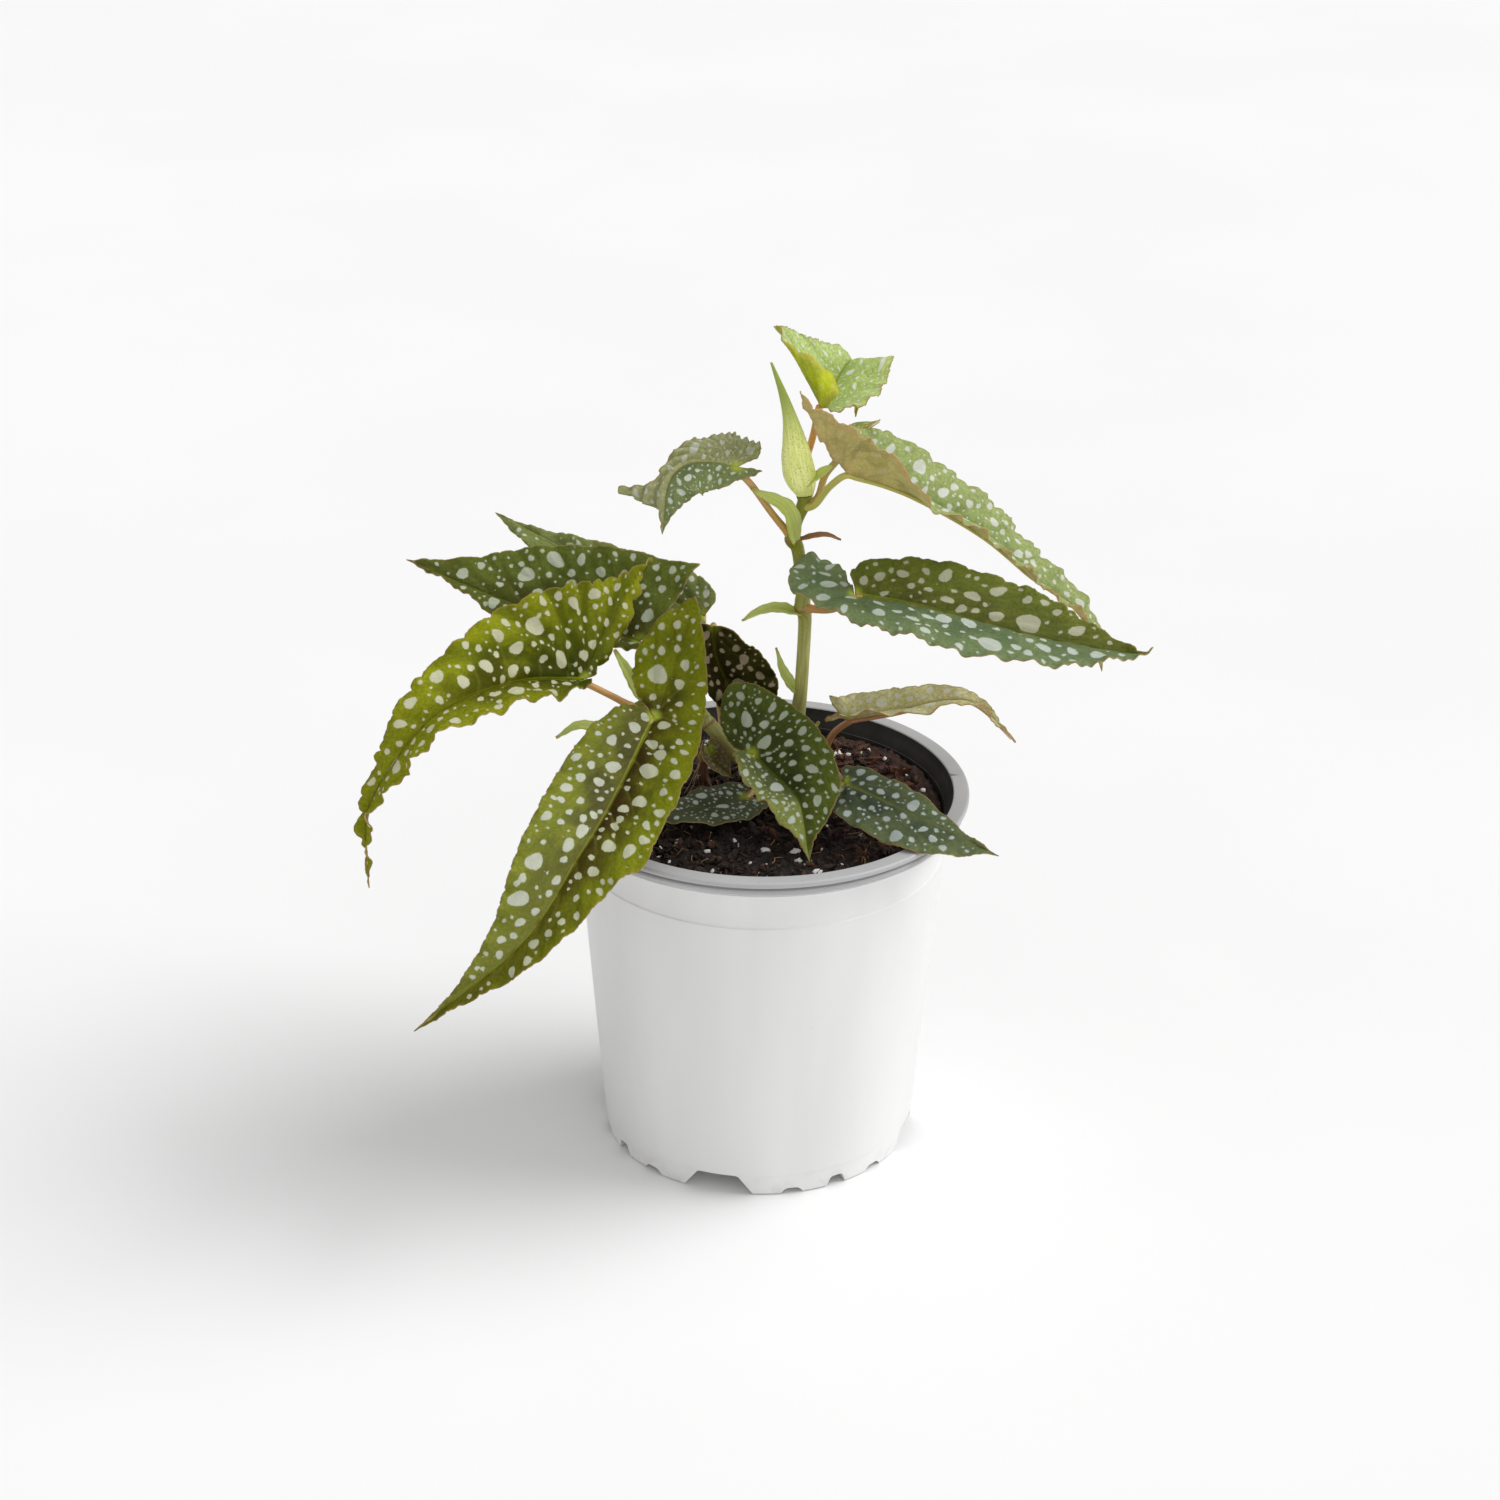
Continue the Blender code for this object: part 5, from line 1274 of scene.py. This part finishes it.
def lump(draw, centre, size, stretch, rough):
    """An irregular grain as lists of places and faces."""
    shape = bmesh.new()
    bmesh.ops.create_icosphere(shape, subdivisions=2, radius=1.0)
    seed = draw.uniform(0, 50, 3)
    turn = Matrix.Rotation(draw.uniform(0, 6.28), 3, Vector(unit(draw.normal(0, 1, 3))))
    scale = np.array([stretch, draw.uniform(0.55, 0.9), draw.uniform(0.45, 0.85)])
    places = []
    for vertex in shape.verts:
        p = np.array(vertex.co)
        uneven = noise.noise(Vector(p * 1.4 + seed)) + 0.5 * noise.noise(Vector(p * 3.1 + seed))
        places.append(np.array(turn @ Vector(p * (1 + rough * uneven) * scale * size)) + centre)
    faces = [[vertex.index for vertex in face.verts] for face in shape.faces]
    shape.free()
    return places, faces


def anywhere(draw, spread):
    """An even choice of a place within this distance of the pot's axis."""
    r = spread * math.sqrt(draw.random())
    a = draw.random() * 2 * math.pi
    return r * math.cos(a), r * math.sin(a)


def to_the_right(x, y):
    """Share of the grains kept: few at the left and the front, most at the right and the back."""
    return 0.12 + 0.88 * min(1, max(0, (x + 0.7 * y) / 45))


def grains(name, draw, count, sizes, stretch, rough, look, sunk=0.3, common=None, smooth=False):
    """Grains strewn over the mix and clear of the canes, their lower parts sunk in it."""
    places, faces = [], []
    made = 0
    while made < count:
        x, y = anywhere(draw, SOIL_SPREAD)
        size = draw.uniform(*sizes) * (0.55 + 0.45 * draw.random())
        if min(math.hypot(x - foot[0][0], y - foot[0][1]) for foot in CANES.values()) < 3.4 + size:
            continue
        if common and draw.random() > common(x, y):
            continue
        if math.hypot(x, y) + size * stretch > SOIL_SPREAD + 1.5:
            continue
        centre = np.array([x, y, soil_surface(x, y) + size * (0.35 - sunk)])
        new, triangles = lump(draw, centre, size, draw.uniform(1, stretch), rough)
        faces.extend([[len(places) + i for i in triangle] for triangle in triangles])
        places.extend(new)
        made += 1
    place(grown(name, places, faces, look, smooth), "potting_mix")


def fibres(name, draw, look):
    """Fine roots and straw lying on the mix."""
    made = []
    for _ in range(FIBRES):
        x, y = anywhere(draw, SOIL_SPREAD - 5)
        way = draw.random() * 6.28
        length = draw.uniform(3, 13)
        thick = draw.uniform(0.08, 0.2)
        points = []
        for s in np.linspace(0, 1, 6):
            way += draw.normal(0, 0.4)
            x += math.cos(way) * length / 5
            y += math.sin(way) * length / 5
            if math.hypot(x, y) > SOIL_SPREAD - 1:
                break
            high = 0.25 + 0.9 * math.sin(math.pi * s) * draw.random()
            points.append((x, y, soil_surface(x, y) + high, thick))
        if len(points) > 2:
            made.append(swept("fibre", points, look, sides=5, step=1.0))
    place(merged(name, made), "potting_mix")


def soil_body():
    """The mix as one solid: rings of the crumbled top, then the sides and the bottom."""
    edge = wall_r(SOIL_TOP - 4) - WALL - SOIL_GAP
    rings = [(r, None) for r in (*np.arange(SOIL_STEP, edge, SOIL_STEP), edge)]
    rings += [(wall_r(z) - WALL - SOIL_GAP, z) for z in (SHOULDER_Z, SOIL_BOTTOM)]
    places = [(0, 0, soil_height(0, 0))]
    faces = [(0, 1 + j, 1 + (j + 1) % SOIL_SECTORS) for j in range(SOIL_SECTORS)]
    for number, (r, z) in enumerate(rings):
        start = len(places)
        sag = 1.2 * max(0, (r - edge + 2.5) / 2.5) ** 2
        for j in range(SOIL_SECTORS):
            a = 2 * math.pi * j / SOIL_SECTORS
            x, y = r * math.cos(a), r * math.sin(a)
            places.append((x, y, soil_surface(x, y) - sag if z is None else z))
        if number:
            faces += [face[:1] + face[:0:-1] for face in band(start - SOIL_SECTORS, start, SOIL_SECTORS)]
    faces.append(tuple(start + j for j in range(SOIL_SECTORS))[::-1])
    place(grown("peat_body", places, faces, soil_look()), "potting_mix", "potting_mix")


def make_soil():
    soil_body()
    draw = np.random.default_rng(11)
    peat = crumb_look("peat_crumb", (0.003, 0.002, 0.0015), (0.038, 0.015, 0.008))
    bark = crumb_look("bark_crumb", (0.02, 0.007, 0.003), (0.17, 0.058, 0.028))
    straw = crumb_look("straw_fibre", (0.22, 0.10, 0.03), (0.62, 0.36, 0.12))
    grains("peat_crumbs", draw, PEAT_CRUMBS, (0.7, 2.6), 1.9, 0.9, peat)
    grains("bark_crumbs", draw, BARK_CRUMBS, (0.8, 2.6), 2.2, 0.9, bark, common=to_the_right)
    grains("perlite_grains", draw, PERLITE, (0.6, 2.1), 1.3, 0.5, perlite_look(), sunk=0.1, smooth=True)
    fibres("straw_fibres", draw, straw)


# Canes, sheath and stipules

def cane_look(name, green, brown, young):
    """Streaked green skin with pale dashes, darker at the foot, younger at the top, brown at the joints."""
    look = Look(name, 0.45)
    stem = look.read("stem", "Vector")
    up = look.split(stem)[2]
    streak = look.noise(look.scaled(stem, 0.05, 1.3), 1.0, 4)
    colour = look.towards(green, shade(green, 0.62), streak, 0.3, 0.7)
    colour = look.towards(colour, shade(green, 0.45), up, 0.05, 0.55, 0.75, 0)
    colour = look.towards(colour, young, look.noise(stem, 0.06, 2) * 0.5 + up, 0.7, 1.15)
    dash = look.cells(look.scaled(stem, 0.45, 1.5), 1.0)
    colour = look.towards(colour, (0.55, 0.55, 0.30), dash, 0.1, 0.2, 0.7, 0)
    joint = look.read("node") + (look.noise(stem, 1.2, 4) * 0.5 - 0.25)
    colour = look.towards(colour, brown, joint, 0.55, 0.95, 0, 0.75)
    height = streak * 0.8 + look.ramp(dash, 0.1, 0.2, 1, 0) * 0.5 + look.noise(stem, 2.5, 4) * 0.4
    return look.finish(colour, look.ramp(streak, 0.3, 0.7, 0.32, 0.46), look.bump(height, 0.4, 0.0005))


def dry_look(name, dark, light):
    look = Look(name)
    stem = look.read("stem", "Vector")
    streak = look.noise(look.scaled(stem, 0.12, 1.4), 1.2, 5)
    colour = look.towards(dark, light, streak, 0.35, 0.65)
    colour = look.towards(colour, shade(dark, 0.4), look.noise(stem, 0.5), 0.55, 0.7, 0, 0.7)
    return look.finish(colour, look.ramp(streak, 0.3, 0.7, 0.6, 0.9), look.bump(streak, 0.9, 0.0008))


def stipule_look(name, pale, deep, tip):
    """Thin papery scale: lengthwise veins, fine specks and a tip of another colour."""
    look = Look(name)
    scale = look.read("scale", "Vector")
    line = look.noise(look.scaled(scale, 0.8, 9), 1.0)
    speck = look.cells(look.scaled(scale, 14, 14), 1.0)
    colour = look.towards(pale, deep, line, 0.35, 0.65)
    colour = look.towards(colour, shade(deep, 0.6), speck, 0.12, 0.3, 0.4, 0)
    colour = look.towards(colour, tip, look.split(scale)[0], 0.88, 1, 0, 0.9)
    rough = look.ramp(line, 0.3, 0.7, 0.4, 0.55)
    return look.finish(colour, rough, look.bump(line, 0.4, 0.0005), pale, 0.35)


def sheath_look():
    """Pale lime with fine darker dots, a yellow base and a darker beak."""
    look = Look("sheath_scale")
    scale = look.read("scale", "Vector")
    up = look.split(scale)[0]
    line = look.noise(look.scaled(scale, 1.2, 7), 1.4)
    dot = look.cells(look.position(), 1150)
    colour = look.towards((0.92, 0.95, 0.38), (0.74, 0.80, 0.20), line, 0.35, 0.65)
    colour = look.towards(colour, (0.26, 0.30, 0.03), dot, 0.16, 0.34, 0.55, 0)
    colour = look.towards(colour, (0.32, 0.40, 0.06), up, 1.6, 2.6)
    colour = look.towards(colour, (0.34, 0.36, 0.03), up, 0, 0.35, 0.5, 0)
    height = line + look.ramp(dot, 0.15, 0.35) * 0.4
    return look.finish(colour, look.ramp(line, 0.3, 0.7, 0.36, 0.5), look.bump(height, 0.4, 0.0005))


def stipule(name, root, middle, tip, width, facing, look, draw):
    """A pointed, cupped scale with a keel, wavy margins and its own thickness."""
    line = smooth_line([root, middle, tip], 22)
    forward = unit(np.gradient(line, axis=0))
    face = unit(np.array(facing, float) - (forward * facing).sum(-1, keepdims=True) * forward)
    out = np.cross(face, forward)
    u = np.linspace(0, 1, len(line))
    spread = 0.3 + (width / 2 - 0.3) * np.minimum(1, 0.45 + 2.4 * u) * (1 - u ** 2.2)
    phase = draw.uniform(0, 6.28, 2)
    columns = 17
    places, scale, faces = [], [], []
    for i in range(len(line)):
        for s in np.linspace(-1, 1, columns):
            start = phase[int(s > 0)]
            wave = 0.12 * width * abs(s) ** 3 * math.sin(9 * u[i] + start) * u[i]
            cup = 0.3 * spread[i] * s * s + wave - 0.25 * math.exp(-(s / 0.12) ** 2)
            reach = spread[i] * (1 + 0.06 * math.sin(31 * u[i] + start) * abs(s))
            places.append(line[i] + out[i] * s * reach + face[i] * cup)
            scale.append((u[i], s, 0))
        if i:
            faces += band((i - 1) * columns, i * columns, columns, closed=False)
    return thickened(grown(name, places, faces, look, scale=scale), SCALE_THICKNESS)


def joint_places(points):
    """Distances along the cane of its joints, where the radius swells."""
    points = np.array(points, float)
    run = along(points[:, :3])
    radius = points[:, 3]
    found = []
    for i in range(1, len(points) - 1):
        if radius[i] > radius[i - 1] + 0.15 and radius[i] > radius[i + 1] + 0.15:
            found.append(run[i])
    return found


def make_cane(name, look):
    """A cane with a ridge and a ring at each joint, marking the joints for its colours."""
    points = CANES[name]
    joints = joint_places(points)
    knobs = []
    for at in joints:
        knobs += [(at, 0.25, 0.9), (at + 1.6, -0.12, 0.7)]
    stem = swept(name + "_stem", points, look, sides=32, step=0.6, knobs=knobs, wobble=0.012,
                 seed=len(points))
    values = np.zeros(len(stem.data.vertices) * 3, np.float32)
    stem.data.attributes["stem"].data.foreach_get("vector", values)
    run = values[::3]
    near = np.zeros(len(run))
    for at in joints:
        near = np.maximum(near, np.exp(-((run - at) / 1.1) ** 2))
    attribute(stem.data, "node", near)
    return stem


def sheath_body(name, look):
    """The rolled sheath: a keeled lens in section, its free margin lapping over from base to beak."""
    dense = smooth_line(SHEATH, 22)
    centre = dense[:, :3]
    radius = np.maximum(dense[:, 3], 0.35)
    ahead = unit(np.gradient(centre, axis=0))
    side = unit(np.cross(ahead, (0.0, 1.0, 0.15)))
    front = np.cross(ahead, side)
    sides = 56
    angle = np.linspace(0, 2 * np.pi, sides, endpoint=False)
    keel = 1 + 0.10 * np.cos(2 * angle) + 0.07 * np.exp(-((angle - 0.9) / 0.16) ** 2)
    lap = 0.10 * np.clip((angle - 0.9) / 5.4, 0, 1)
    places, scale = [], []
    for i, u in enumerate(np.linspace(0, 1, len(centre))):
        crease = 0.02 * np.sin(11 * angle + 3 * u)
        r = radius[i] * (keel + lap * math.sin(math.pi * min(1, u * 1.2 + 0.1)) + crease)
        places.extend(ring(centre[i], side[i], front[i], angle, r, 0.92 * r))
        scale.extend([(u * 3, a / 2, 0) for a in angle])
    return cleaned(grown(name, places, tube(len(centre), sides), look, scale=scale))


def dry_strands(points, draw, look):
    """Torn fibres that hang from the dead stem's broken top and sides."""
    made = []
    for _ in range(STRANDS):
        foot = np.array(points[draw.integers(2, len(points))][:3])
        way = draw.uniform(0, 6.28)
        out = np.array([math.cos(way), math.sin(way), draw.uniform(-0.5, 1.2)])
        length = draw.uniform(4, 12)
        path = []
        for s in np.linspace(0, 1, 6):
            sway = 0.6 * draw.normal(0, 1, 3) * s
            place_at = foot + out * length * s + sway - np.array([0, 0, 0.6 * length * s * s])
            path.append((*place_at, 0.28 * (1 - 0.7 * s)))
        made.append(swept("strand", path, look, sides=6, step=0.8))
    return made


def make_canes():
    draw = np.random.default_rng(23)
    green = cane_look("cane_skin", (0.55, 0.54, 0.16), (0.30, 0.13, 0.04), (0.20, 0.21, 0.004))
    dry = dry_look("dead_stem_skin", (0.12, 0.05, 0.025), (0.30, 0.14, 0.07))
    pale = stipule_look("stipule_pale", (0.80, 0.86, 0.32), (0.54, 0.62, 0.12), (0.60, 0.44, 0.15))
    straw = stipule_look("bract_dry", (0.50, 0.27, 0.10), (0.26, 0.12, 0.05), (0.30, 0.15, 0.06))
    torn = dry_look("dead_stem_fibre", (0.34, 0.20, 0.10), (0.66, 0.50, 0.32))
    for name in CANES:
        dead = name == "dead_stub"
        parts = [make_cane(name, dry if dead else green)]
        for i, entry in enumerate(STIPULES.get(name, [])):
            dried = (name, i) == DRY_BRACT
            parts.append(stipule("scale", *entry, straw if dried else pale, draw))
        if dead:
            parts += dry_strands(CANES[name], draw, torn)
        place(merged(name + "_grown", parts), "dead_stem" if dead else "cane_green", name)
    parts = [sheath_body("sheath_body", sheath_look())]
    parts += [stipule("scale", *entry, pale, draw) for entry in STIPULES["growing_tip_sheath"]]
    place(merged("growing_tip", parts), "stipule_green", "growing_tip_sheath")


# Stage, light and camera

def make_stage():
    """A wide sheet of pale paper just under the pot's foot."""
    look = Look("studio_paper")
    place_at = look.position()
    colour = look.towards((0.86, 0.86, 0.86), (0.88, 0.88, 0.88), look.noise(place_at, 3), 0.3, 0.7)
    paper = look.finish(colour, 0.9, look.bump(look.noise(place_at, 900, 2), 0.05, 0.0002))
    corners = [(-FLOOR, -FLOOR, 0), (FLOOR, -FLOOR, 0), (FLOOR, FLOOR, 0), (-FLOOR, FLOOR, 0)]
    floor = grown("studio_floor", corners, [(0, 1, 2, 3)], paper, smooth=False)
    floor.location.z = -0.2 * MM


def daylight(name, towards, strength, spread):
    """Even light from one side of the sky, soft over the given angle in degrees."""
    data = bpy.data.lights.new(name, "SUN")
    data.energy = strength
    data.angle = math.radians(spread)
    link(name, data).rotation_euler = Vector(towards).to_track_quat("Z", "Y").to_euler()


def make_lights():
    world = bpy.data.worlds.new("studio_air")
    world.use_nodes = True
    air = world.node_tree.nodes["Background"]
    air.inputs["Color"].default_value = (1, 1, 1, 1)
    air.inputs["Strength"].default_value = AIR_STRENGTH
    bpy.context.scene.world = world
    daylight("window_right", (0.69, 0.10, 0.72), 2.02, 42)
    daylight("ceiling_front", (0.15, -0.5, 0.85), 0.82, 120)


def make_camera():
    """Looks down at the aim from the front, turned a little about its own axis."""
    data = bpy.data.cameras.new("photo_camera")
    data.lens = CAMERA_LENS
    data.sensor_width = 36
    data.clip_start = 0.01
    pitch = math.radians(CAMERA_PITCH)
    roll = math.radians(CAMERA_ROLL)
    back = Vector((0, -math.cos(pitch), math.sin(pitch)))
    right = Vector((1, 0, 0))
    up = Vector((0, math.sin(pitch), math.cos(pitch)))
    turned_right = math.cos(roll) * right + math.sin(roll) * up
    turned_up = math.cos(roll) * up - math.sin(roll) * right
    camera = link("photo_camera", data)
    camera.matrix_world = Matrix((turned_right, turned_up, back)).transposed().to_4x4()
    camera.location = Vector(CAMERA_AIM) + back * CAMERA_DISTANCE
    bpy.context.scene.camera = camera


make_pot()
make_soil()
make_canes()
for number, leaf in enumerate(LEAVES):
    make_leaf(leaf, number)
make_stage()
make_lights()
make_camera()
bpy.context.scene.view_settings.view_transform = "Standard"
